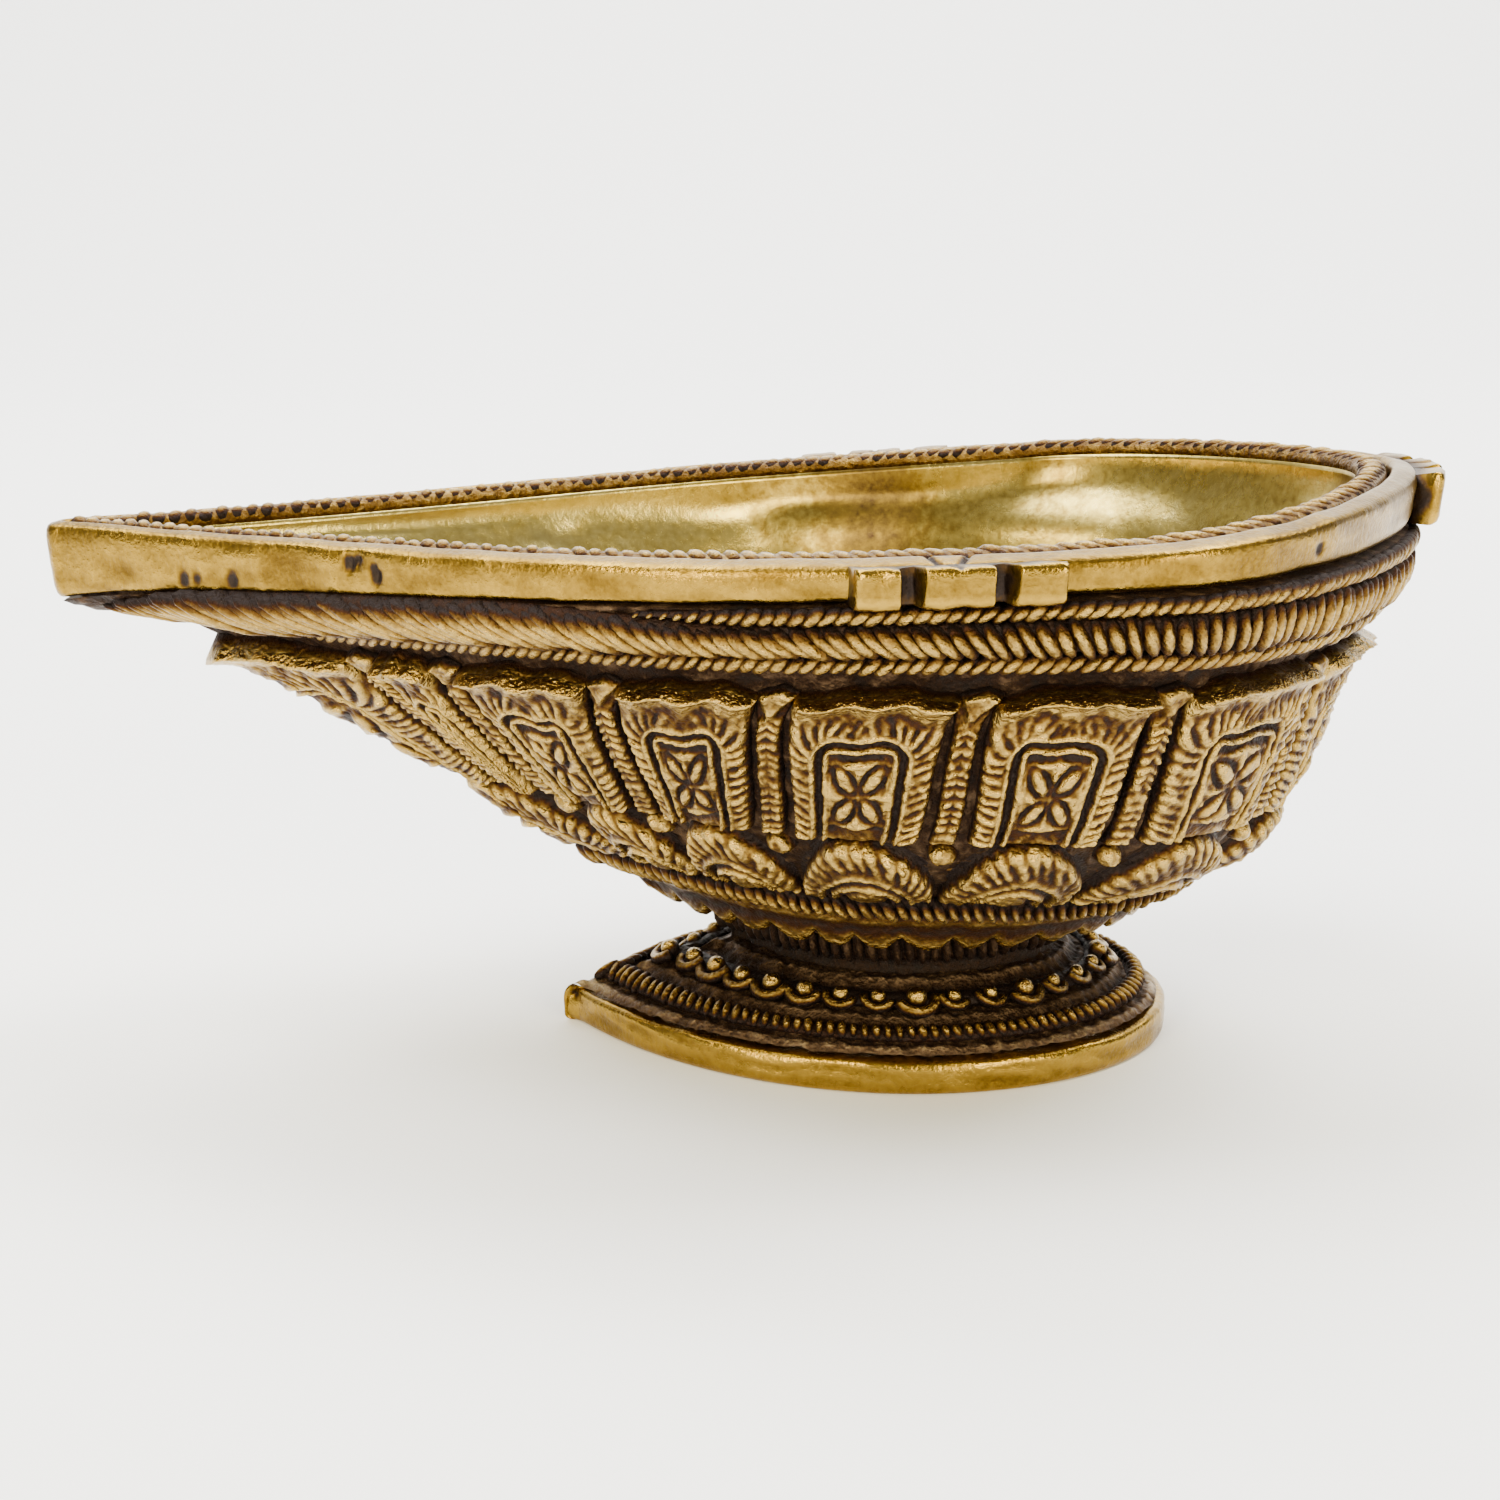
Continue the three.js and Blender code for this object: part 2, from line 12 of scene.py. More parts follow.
import bpy
import numpy as np
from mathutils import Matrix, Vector

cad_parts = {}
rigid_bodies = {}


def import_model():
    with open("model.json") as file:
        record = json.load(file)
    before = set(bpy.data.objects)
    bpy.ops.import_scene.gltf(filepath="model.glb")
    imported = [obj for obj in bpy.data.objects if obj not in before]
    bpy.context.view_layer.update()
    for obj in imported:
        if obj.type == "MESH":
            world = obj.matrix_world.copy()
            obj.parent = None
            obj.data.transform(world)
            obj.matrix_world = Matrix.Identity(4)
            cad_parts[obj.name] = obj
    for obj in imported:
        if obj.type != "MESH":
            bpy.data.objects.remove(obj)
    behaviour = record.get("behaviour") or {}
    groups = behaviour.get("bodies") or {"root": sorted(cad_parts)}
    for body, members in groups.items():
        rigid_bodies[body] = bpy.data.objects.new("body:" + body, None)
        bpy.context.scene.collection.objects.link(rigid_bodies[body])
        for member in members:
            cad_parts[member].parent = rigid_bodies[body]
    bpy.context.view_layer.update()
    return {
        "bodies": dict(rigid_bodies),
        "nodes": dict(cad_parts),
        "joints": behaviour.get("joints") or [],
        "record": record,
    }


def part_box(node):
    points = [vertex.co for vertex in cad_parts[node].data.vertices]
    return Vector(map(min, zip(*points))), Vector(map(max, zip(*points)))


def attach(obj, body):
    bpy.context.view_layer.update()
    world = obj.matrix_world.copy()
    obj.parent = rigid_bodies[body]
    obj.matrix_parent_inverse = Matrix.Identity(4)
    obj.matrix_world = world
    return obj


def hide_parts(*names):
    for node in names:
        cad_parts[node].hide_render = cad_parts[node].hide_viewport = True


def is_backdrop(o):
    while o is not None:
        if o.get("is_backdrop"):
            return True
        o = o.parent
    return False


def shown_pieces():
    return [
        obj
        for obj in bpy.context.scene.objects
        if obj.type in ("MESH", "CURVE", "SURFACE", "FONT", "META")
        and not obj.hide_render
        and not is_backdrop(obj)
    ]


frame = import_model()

MM = 0.001  # the frame is in metres, and the sizes below are in millimetres


def cad(node):
    """A node's lowest and highest corners, in millimetres."""
    low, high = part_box(node)
    return np.array(low) / MM, np.array(high) / MM


# %% [markdown]
# ## The hull: one rule for the whole bowl
# A boat builder draws a hull as a few level outlines and runs smooth lines through them. The bowl is made
# the same way. Seven levels say how far the outline reaches at the spout, the side and the rear, and how
# high it lies there. Every rope, petal and rib then takes its place from two numbers: u, the share of the
# outline (0 at the spout's tip, 1 at the rear, 2 back at the tip along the other side), and w, the level.

# %% Outlines and levels
band_low, band_high = cad("rim_band")
RIM_TIP, RIM_REAR, RIM_HALF = band_low[0], band_high[0], band_high[1]
SEAT_Z = cad("oil_bowl")[0][2]
TIP, REAR, HALF, WIDE, NOSE, FULL, RISE, Z_TIP, Z_SIDE, Z_REAR = range(10)

# an outline is its tip, rear and half width, where it is widest, and its nose's half width
rim_outline = np.array([RIM_TIP, RIM_REAR, RIM_HALF, 34.6, 2.0])
seat_outline = np.array([-7.0, 41.6, 17.0, 17.5, 1.0])

# reach at tip, side and rear, then full, rise, and z at tip, side and rear
HULL = [
    (1.000, 1.000, 1.000, 0.0, 2.00, 56.8, 60.0, 62.8),  # rim
    (0.988, 0.985, 0.983, 0.0, 0.65, 48.3, 55.9, 57.0),  # foot of the band
    (0.798, 0.889, 0.841, 0.1, 0.80, 46.3, 49.0, 48.2),  # foot of the ropes
    (0.753, 0.822, 0.793, 0.1, 1.00, 45.0, 47.2, 46.6),  # recess over the petals
    (0.332, 0.578, 0.532, 0.4, 1.00, 29.0, 30.0, 27.6),  # foot of the petals
    (0.170, 0.311, 0.285, 0.6, 1.00, 21.6, 22.4, 20.4),  # foot of the mounds
    (0.000, 0.000, 0.000, 1.0, 1.00, SEAT_Z, SEAT_Z, SEAT_Z),  # seat on the neck
]
RIM, BAND_FOOT, ROPE_FOOT, RECESS, PETAL_FOOT, MOUND_FOOT, SEAT = range(7)


def mix(a, b, t):
    return a + (b - a) * t


def smooth(t):
    t = np.clip(t, 0, 1)
    return t * t * (3 - 2 * t)


def hull_levels():
    rows = []
    for tip, side, rear, full, rise, z_tip, z_side, z_rear in HULL:
        reach = np.array([tip, rear, side, side, side])
        rows.append([*mix(seat_outline, rim_outline, reach), full, rise, z_tip, z_side, z_rear])
    return np.array(rows)


LEVELS = hull_levels()


def level(w):
    """The outline at level w, from a Catmull-Rom line through the levels."""
    i = int(min(math.floor(w), len(LEVELS) - 2))
    t = w - i
    a, b, c, d = (LEVELS[max(0, min(len(LEVELS) - 1, k))] for k in (i - 1, i, i + 1, i + 2))
    return b + 0.5 * t * (c - a + t * (2 * a - 5 * b + 4 * c - d + t * (3 * (b - c) + d - a)))


def moved_out(w, out):
    """Level w moved out across its profile at the tip, side and rear. A wall's inner face needs it."""
    step = 0.02
    a, b = level(max(0, w - step)), level(min(SEAT, w + step))
    spec = level(w).copy()
    for reach, height, sign in ((TIP, Z_TIP, -1), (HALF, Z_SIDE, 1), (REAR, Z_REAR, 1)):
        run, fall = sign * (b[reach] - a[reach]), b[height] - a[height]
        length = math.hypot(run, fall)
        spec[reach] -= sign * out * fall / length
        spec[height] += out * run / length
    spec[NOSE] = max(0.4, spec[NOSE] + out / 2)
    return spec


SLIM = np.array([0.487, 0.64, 0.428, 0.48, 0.28])  # the leaf's handles: tip x and y, side, rear x and y
ROUND = np.array([0.266, 0.7, 0.333, 0.552, 0.552])
NOSE_LENGTH = 1.6


def bezier(points, count):
    t = np.linspace(0, 1, count)[:, None]
    points = np.array(points)
    while len(points) > 1:
        points = [mix(a, b, t) for a, b in zip(points[:-1], points[1:])]
    return points[0]


def half_outline(spec, shares):
    """Points (x, y, z) at shares of the half outline, 0 at the tip and 1 at the rear."""
    tip_x, tip_y, side, rear_x, rear_y = mix(SLIM, ROUND, spec[FULL])
    tip, rear, half, wide, nose = spec[:5]
    length, tail, flank = wide - tip - NOSE_LENGTH, rear - wide, half - nose
    slope = tip_y * flank / (tip_x * length)
    start = (tip + NOSE_LENGTH, nose)
    curve = np.vstack([
        bezier([(tip, 0), (tip, nose - slope * NOSE_LENGTH * 0.5), start], 30),
        bezier([start, (start[0] + tip_x * length, nose + tip_y * flank),
                (wide - side * length, half), (wide, half)], 260)[1:],
        bezier([(wide, half), (wide + rear_x * tail, half), (rear, rear_y * half), (rear, 0)], 200)[1:],
    ])
    run = np.concatenate([[0], np.cumsum(np.linalg.norm(np.diff(curve, axis=0), axis=1))])
    x, y = (np.interp(shares * run[-1], run, curve[:, k]) for k in (0, 1))
    climb = np.clip((x - tip) / (wide - tip), 0, 1) ** spec[RISE]
    behind = mix(spec[Z_SIDE], spec[Z_REAR], (x - wide) / tail)
    z = np.where(x > wide, behind, mix(spec[Z_TIP], spec[Z_SIDE], climb))
    return np.stack([x, y, z], -1), run[-1]


class Surface:
    """Rows of half outlines, read at any (u, row) with a straight mix between the nearest points."""

    def __init__(self, specs, columns=900):
        self.columns = columns
        rows = [half_outline(spec, np.linspace(0, 1, columns + 1)) for spec in specs]
        self.points = np.array([row[0] for row in rows])
        self.lengths = np.array([row[1] for row in rows])

    def at(self, u, row):
        u, row = np.broadcast_arrays(np.asarray(u, float), np.asarray(row, float))
        u = (u + 1) % 2 - 1
        a = np.clip(np.abs(u) * self.columns, 0, self.columns - 1e-6)
        b = np.clip(row, 0, len(self.points) - 1 - 1e-6)
        i, j = a.astype(int), b.astype(int)
        s, t = (a - i)[..., None], (b - j)[..., None]
        p = mix(mix(self.points[j, i], self.points[j, i + 1], s),
                mix(self.points[j + 1, i], self.points[j + 1, i + 1], s), t)
        p = p.copy()
        p[..., 1] *= np.where(u < 0, -1, 1)
        return p


ROWS = 100  # rows for each level of the hull
hull_surface = Surface([level(w) for w in np.linspace(0, SEAT, SEAT * ROWS + 1)])


def hull(u, w, out=0.0):
    """A point of the hull at (u, w), standing out from it by out millimetres."""
    du, dw = 0.004, 0.03
    p = hull_surface.at(u, np.asarray(w) * ROWS)
    across = hull_surface.at(np.asarray(u) + du, np.asarray(w) * ROWS)
    across = across - hull_surface.at(np.asarray(u) - du, np.asarray(w) * ROWS)
    down = hull_surface.at(u, (np.asarray(w) + dw) * ROWS) - hull_surface.at(u, (np.asarray(w) - dw) * ROWS)
    normal = np.cross(across, down)
    normal /= np.linalg.norm(normal, axis=-1, keepdims=True) + 1e-12
    return p + normal * np.asarray(out)[..., None]


def half_length(w):
    return np.interp(np.asarray(w) * ROWS, np.arange(len(hull_surface.lengths)), hull_surface.lengths)


print("half outline at the rim:", round(float(half_length(RIM)), 1), "mm, at the petals' foot:",
      round(float(half_length(PETAL_FOOT)), 1), "mm")

# %% [markdown]
# ## Meshes from grids of points
# Nearly every piece here is a grid of points: a plate with a carved face, or a tube that follows an outline.
# Three small helpers turn the grids into closed solids with their faces outward. Each vertex also keeps a
# number called wear, from -1 in a crevice to 1 on a crest that is rubbed bright. In the oil well, on the
# petals' lips and at the far ends of the foot cover it also holds painted light. The finishes read it.

# %% Grids to closed solids
def weave(index):
    """Quads over a grid of vertex numbers, facing along (right x down)."""
    a, b, c, d = index[:-1, :-1], index[:-1, 1:], index[1:, 1:], index[1:, :-1]
    return np.stack([a, b, c, d], -1).reshape(-1, 4).tolist()


def plate(face, back, wear):
    """A carved face, a wall from its edge to the points of its back, and a back fanned shut."""
    rows, columns = face.shape[:2]
    index = np.arange(rows * columns).reshape(rows, columns)
    edge = np.concatenate([index[0, :-1], index[:-1, -1], index[-1, :0:-1], index[:0:-1, 0]])
    low = np.arange(len(edge)) + rows * columns
    centre = low[-1] + 1
    behind = back.reshape(-1, 3)[edge]
    vertices = np.vstack([face.reshape(-1, 3), behind, behind.mean(0)])
    faces = weave(index)
    for k in range(len(edge)):
        n = (k + 1) % len(edge)
        faces += [[edge[n], edge[k], low[k], low[n]], [low[n], low[k], centre]]
    return vertices, faces, np.concatenate([wear.ravel(), np.full(len(edge) + 1, -1.0)])


def tube(points, wear, ring=True):
    """A solid of revolution round a path: points[k, i] are k round the section and i along the path."""
    around, along = points.shape[:2]
    index = np.arange(around * along).reshape(around, along)
    closed = np.vstack([index, index[:1]])
    vertices, wear = points.reshape(-1, 3), np.broadcast_to(wear, (around, along)).ravel()
    if ring:
        return vertices, weave(np.hstack([closed, closed[:, :1]])), wear
    faces = weave(closed)
    for k in range(around):
        n, start, end = (k + 1) % around, len(vertices), len(vertices) + 1
        faces += [[index[k, 0], index[n, 0], start], [index[n, -1], index[k, -1], end]]
    ends = [points[:, 0].mean(0), points[:, -1].mean(0)]
    return np.vstack([vertices, ends]), faces, np.concatenate([wear, [-1.0, -1.0]])


def vessel(points, wear):
    """Rows from the middle of the upper side, over the edge, to the middle of the lower side."""
    rows, around = points.shape[:2]
    index = np.arange(rows * around).reshape(rows, around)
    faces = weave(np.hstack([index, index[:, :1]]))
    first, last = rows * around, rows * around + 1
    for i in range(around):
        n = (i + 1) % around
        faces += [[index[0, n], index[0, i], first], [index[-1, i], index[-1, n], last]]
    vertices = np.vstack([points.reshape(-1, 3), points[0].mean(0), points[-1].mean(0)])
    return vertices, faces, np.concatenate([wear.ravel(), [wear[0].mean(), wear[-1].mean()]])


def place(name, solids, finishes, slot, *nodes, which=None):
    """Joins solids into one piece at its real place, and hides the CAD nodes it stands for."""
    vertices, faces, wear = [], [], []
    for points, polygons, worn in solids:
        start = sum(map(len, vertices))
        vertices.append(points)
        faces += (np.array(f) + start for f in polygons) if start else polygons
        wear.append(worn)
    mesh = bpy.data.meshes.new(name)
    mesh.from_pydata((np.vstack(vertices) * MM).tolist(), [], [list(map(int, f)) for f in faces])
    attribute = mesh.attributes.new("wear", "FLOAT", "POINT")
    attribute.data.foreach_set("value", np.concatenate(wear).astype(np.float32))
    mesh.shade_smooth()
    for finish in finishes:
        mesh.materials.append(finish)
    if which is not None:
        mesh.polygons.foreach_set("material_index", np.array(which(np.vstack(vertices), faces), np.int32))
    piece = bpy.data.objects.new(name, mesh)
    bpy.context.scene.collection.objects.link(piece)
    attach(piece, "root")
    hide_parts(*nodes)
    triangles = sum(len(f) - 2 for f in faces)
    print(f"{name}: {triangles} triangles")
    return piece


# %% [markdown]
# ## Irregular by hand
# Wax patterns are rolled and cut by eye, so no two strokes are alike, and a casting's skin is never flat.
# Ripple adds a few dozen waves in random directions, which gives a smooth random surface of one size.
# Blur is a Gaussian, and what stands above the blurred surface is what a cloth would rub bright.

# %% Ripple, blur and wear
def ripple(points, size, seed, waves=24):
    """A smooth random field over space, about -1 to 1, with hills about size millimetres apart."""
    rng = np.random.default_rng(seed)
    directions = rng.normal(size=(waves, 3))
    directions *= (rng.uniform(0.6, 1.4, waves) / np.linalg.norm(directions, axis=1))[:, None]
    phases = rng.uniform(0, 2 * np.pi, waves)
    return np.sin(points @ directions.T * (2 * np.pi / size) + phases).sum(-1) * math.sqrt(2 / waves) * 0.6


def blur(height, sigma, wrap=False):
    """Gaussian blur of a grid, sigma in cells as (down, across)."""
    for axis, cells in enumerate(sigma):
        reach = max(1, int(3 * cells))
        kernel = np.exp(-0.5 * (np.arange(-reach, reach + 1) / cells) ** 2)
        kernel /= kernel.sum()
        mode = "wrap" if wrap and axis == 1 else "edge"
        padded = np.pad(height, [(reach, reach) if k == axis else (0, 0) for k in (0, 1)], mode=mode)
        height = sum(weight * np.take(padded, np.arange(height.shape[axis]) + k, axis)
                     for k, weight in enumerate(kernel))
    return height


def rubbed(height, reach, depth, wrap=False):
    """Wear from how far each point stands above its surroundings. Depth is the relief that counts as full."""
    return np.clip((height - blur(height, reach, wrap)) / depth, -1, 1)


def ridge(distance, width):
    return np.exp(-((distance / width) ** 2))


# %% [markdown]
# ## Brass, from polished to black
# Brass is copper and zinc. Freshly cut it's a pale gold mirror. Left alone it grows a brown skin of oxide,
# and oil, soot and dust settle in the hollows and turn nearly black, while hands and cloths keep the high
# places bright. So every finish here is one recipe: wear and a few noises choose a place on a colour ramp,
# from soot to bare metal, and the same place sets how metallic and how rough the surface is.

# %% One helper for nodes, and one for colour
def node(tree, kind, inputs=None, **settings):
    """Adds a node, sets its properties, and gives each input a value or a link."""
    made = tree.nodes.new(kind)
    for key, value in settings.items():
        setattr(made, key, value)
    for key, value in (inputs or {}).items():
        if isinstance(value, bpy.types.NodeSocket):
            tree.links.new(value, made.inputs[key])
        else:
            made.inputs[key].default_value = value
    return made


def linear(code):
    """An sRGB hex colour as linear RGBA."""
    channels = [int(code[i:i + 2], 16) / 255 for i in (1, 3, 5)]
    return [c / 12.92 if c <= 0.04045 else ((c + 0.055) / 1.055) ** 2.4 for c in channels] + [1.0]


def brass(name, colours, bite, rough, grain, depth):
    """A brass finish. Colours run from crevice to crest, bite is how strongly relief shows, rough is
    (crevice, crest), grain the casting's skin in millimetres, and depth that skin's relief in millimetres."""
    material = bpy.data.materials.new(name)
    material.use_nodes = True
    tree = material.node_tree
    tree.nodes.clear()
    place_on = node(tree, "ShaderNodeTexCoord").outputs["Object"]
    worn = node(tree, "ShaderNodeAttribute", attribute_name="wear").outputs["Fac"]

    def noise(size, detail):
        values = {"Vector": place_on, "Scale": 1 / (size * MM), "Detail": detail, "Roughness": 0.6}
        return node(tree, "ShaderNodeTexNoise", values).outputs["Fac"]

    def maths(operation, a, b, c=0.0):
        return node(tree, "ShaderNodeMath", {0: a, 1: b, 2: c}, operation=operation).outputs[0]

    patches, blotches, skin = noise(14, 2), noise(1.6, 5), noise(grain, 3)
    height = maths("MULTIPLY_ADD", worn, bite, -0.11)
    height = maths("MULTIPLY_ADD", patches, 0.3, height)
    height = maths("MULTIPLY_ADD", blotches, 0.42, height)
    height = maths("MULTIPLY_ADD", skin, 0.34, height)
    ramp = node(tree, "ShaderNodeValToRGB", {"Fac": height})
    for k, (at, colour) in enumerate(colours):
        stop = ramp.color_ramp.elements[k] if k < 2 else ramp.color_ramp.elements.new(at)
        stop.position, stop.color = at, linear(colour)
    spread = maths("MULTIPLY_ADD", skin, 0.16, -0.08)
    limits = {"Value": height, "From Min": 0.15, "From Max": 0.85, "To Min": rough[0], "To Max": rough[1]}
    roughness = maths("ADD", node(tree, "ShaderNodeMapRange", limits).outputs[0], spread)
    limits = {"Value": height, "From Min": 0.05, "From Max": 0.3, "To Min": 0.7, "To Max": 1.0}
    metal = node(tree, "ShaderNodeMapRange", limits).outputs[0]
    relief = maths("MULTIPLY_ADD", blotches, 0.8, skin)
    values = {"Height": relief, "Distance": depth * MM, "Strength": 1.0}
    bump = node(tree, "ShaderNodeBump", values).outputs["Normal"]
    values = {"Base Color": ramp.outputs["Color"], "Roughness": roughness, "Metallic": metal, "Normal": bump}
    shader = node(tree, "ShaderNodeBsdfPrincipled", values).outputs["BSDF"]
    node(tree, "ShaderNodeOutputMaterial", {"Surface": shader})
    return material


# %% [markdown]
# ### Four finishes of one metal
# All the lamp is one alloy, and only its history differs from place to place. A cloth polishes the bands,
# oil washes the well, punches break up the ornament, and nothing at all reaches the neck. Grain is drawn
# a little coarser than a real casting's sand, which is under 0.3 mm, so that it shows.

# %% The finishes
# Chased brass: struck with punches and rubbed since. Bright pale crests, brown slopes, sooty hollows.
chased = brass("chased_aged_brass",
               [(0.02, "#180b06"), (0.25, "#331c0d"), (0.48, "#5c431c"), (0.8, "#a88b49")],
               0.62, (0.6, 0.17), 0.65, 0.4)
# Polished brass of the bands and lugs: handled every day, so bright, with soft scratches and small dark pits.
polished = brass("polished_brass",
                 [(0.0, "#1c0f06"), (0.18, "#3f2a0c"), (0.42, "#674e17"), (0.8, "#a0802f")],
                 0.45, (0.46, 0.17), 0.5, 0.1)
# Smooth brass of the oil well: scraped, burnished and washed by hot oil. It mirrors, with stains in it, and
# its colour also holds a painted dark reflection on the far wall and a painted bright reflection at the
# spout.
smooth_well = brass("burnished_oil_well_brass",
                    [(0.0, "#38240b"), (0.26, "#7a6328"), (0.46, "#b09a4e"), (0.8, "#dcca7e")],
                    0.3, (0.36, 0.16), 0.9, 0.03)
# Dark brass of the foot and the ground: never touched, so rough, brown and almost without shine.
dark = brass("sooty_dark_brass",
             [(0.02, "#120b08"), (0.28, "#2c1e15"), (0.55, "#614d3a"), (0.9, "#ab9670")],
             0.34, (0.66, 0.36), 0.45, 0.35)
print("finishes:", [m.name for m in (chased, polished, smooth_well, dark)])

# %% [markdown]
# ## The rim band
# The band is the lamp's grip and the one part that was filed flat, so it shines. It is a closed ring whose
# section is a soft rectangle, deeper at the blunt tip of the spout. The section's corners are given as
# outlines, and rounding mixes neighbouring outlines, so the round follows the leaf all the way.

# %% The band and its section
RIM_WIDTH, SPOUT_WALL, BAND_THICK, BAND_BEVEL, FIT = 6.5, 5.0, 3.0, 0.7, 0.3
AROUND = 1400  # stations round the lamp
STATIONS = np.arange(AROUND) / AROUND * 2 - 1 + 1 / AROUND


def rim_row(inset, fall, w=RIM):
    """The outline of the rim or of the band's foot, drawn in by a distance and lowered."""
    spec = level(w).copy()
    spec[TIP] += inset * SPOUT_WALL / RIM_WIDTH
    spec[REAR] -= inset
    spec[HALF] -= inset
    spec[NOSE] = max(0.4, spec[NOSE] - inset / 4)
    spec[Z_TIP:] -= fall
    return spec


def rounded(corners, radius, cuts=4):
    """Rows round a closed section, with each corner replaced by a short curve between its neighbours."""
    rows = []
    for k, corner in enumerate(corners):
        before, after = corners[k - 1], corners[(k + 1) % len(corners)]
        reach = [radius / np.hypot(*(side - corner)[[HALF, Z_SIDE]]) for side in (before, after)]
        a, b = mix(corner, before, min(0.45, reach[0])), mix(corner, after, min(0.45, reach[1]))
        t = np.linspace(0, 1, cuts + 1)[:, None]
        rows += list(mix(mix(a, corner, t), mix(corner, b, t), t))
    return rows


def refined(rows, gap):
    """Puts rows between rows that are more than gap millimetres apart."""
    fine = []
    for a, b in zip(rows, rows[1:] + rows[:1]):
        count = max(1, int(np.hypot(*(b - a)[[HALF, Z_SIDE]]) / gap))
        fine += [mix(a, b, k / count) for k in range(count)]
    return fine


def outlines(rows, shares=STATIONS):
    """Points [row, station] of a list of outlines."""
    surface = Surface(rows, 1400)
    return surface.at(shares[None, :], np.arange(len(rows))[:, None])


def normals(points, wrap=True):
    """Outward normals of a tube's grid. Its rows and, for a ring, its columns run round."""
    def steps(axis, closed):
        if closed:
            return np.roll(points, -1, axis) - np.roll(points, 1, axis)
        return np.gradient(points, axis=axis)
    normal = np.cross(steps(1, wrap), steps(0, True))
    return normal / (np.linalg.norm(normal, axis=-1, keepdims=True) + 1e-12)


# %% Pits from trapped gas, and the band itself
# x, place down the band from 0 to 1, radius and depth
PITS = [(-39.0, 0.36, 0.45, 0.8), (-38.2, 0.3, 0.35, 0.7), (-36.2, 0.62, 0.4, 0.8), (-36.5, 0.46, 0.3, 0.6),
        (-57.5, 0.8, 0.5, 0.3), (-56.0, 0.78, 0.4, 0.3), (-52.0, 0.8, 0.5, 0.35), (52.0, 0.6, 0.35, 0.4)]
LUG_X = 17.0  # the middle of the side lugs


def pitted(points, down):
    """How deep the pits bite at each point of the near face. They are taller than they are wide."""
    depth = np.zeros(points.shape[:2])
    for x, place_down, radius, deep in PITS:
        near = ridge(points[..., 0] - x, radius) * ridge((down - place_down) * 6, radius * 1.5)
        depth = np.maximum(depth, deep * near * (points[..., 1] < 0))
    return depth


band_corners = [rim_row(0, BAND_BEVEL), rim_row(0, 0, BAND_FOOT), rim_row(BAND_THICK, 0, BAND_FOOT),
                rim_row(BAND_THICK, 0)]
band = outlines(refined(rounded(band_corners, 0.9), 0.35))
top_z, foot_z = band[..., 2].max(0), band[..., 2].min(0)
bite = pitted(band, (top_z - band[..., 2]) / (top_z - foot_z))
file_marks = 0.05 * ripple(band * [0.3, 0.3, 1.6], 3.0, 11) - 0.11 * np.abs(ripple(band, 14, 12))


rim_edge = half_outline(level(RIM), np.linspace(0, 1, 2000))[0]


def rim_half_at(points):
    """Half the rim's width at each point's X."""
    return np.interp(points[..., 0], rim_edge[:, 0], rim_edge[:, 1])


def lug_marks(points, reach):
    """Two short strokes cut into the band's top above the middle block of each side lug."""
    along = np.abs(points[..., 0] - LUG_X)
    in_from_edge = rim_half_at(points) - np.abs(points[..., 1])
    return ridge(along - 0.7 - 0.45 * in_from_edge, 0.28) * (in_from_edge < reach)


on_top = smooth((normals(band)[..., 2] - 0.5) * 4)
strokes = 0.45 * lug_marks(band, 3.2) * on_top
band_height = np.minimum(file_marks, 0) - bite - strokes
band = band + normals(band) * band_height[..., None]
band_wear = np.clip(0.25 + rubbed(band_height, (4, 4), 0.22, True) - 4 * bite - 3 * strokes, -1.4, 1)
place("polished_rim_band", [tube(band, band_wear)], [polished], "polished_brass", "rim_band")

# %% [markdown]
# ## The lugs
# Three lugs sit on the band, at each side and at the rear. Each is a bar with two grooves filed across it,
# which leaves three blocks. The section is swept along the band's outline, and its outer face steps back
# wherever a groove passes. The file rounds every edge a little, so the step is a smooth one.

# %% Lugs along the band
LUG_HALF, LUG_PROUD, GROOVE_AT, GROOVE_HALF, GROOVE_LEFT = 9.0, 2.8, 4.0, 0.85, 0.8
rim_half_length = half_outline(level(RIM), np.array([0, 1.0]))[1]


def share_at_x(x):
    shares = np.linspace(0, 0.8, 4000)
    return float(np.interp(x, half_outline(level(RIM), shares)[0][:, 0], shares))


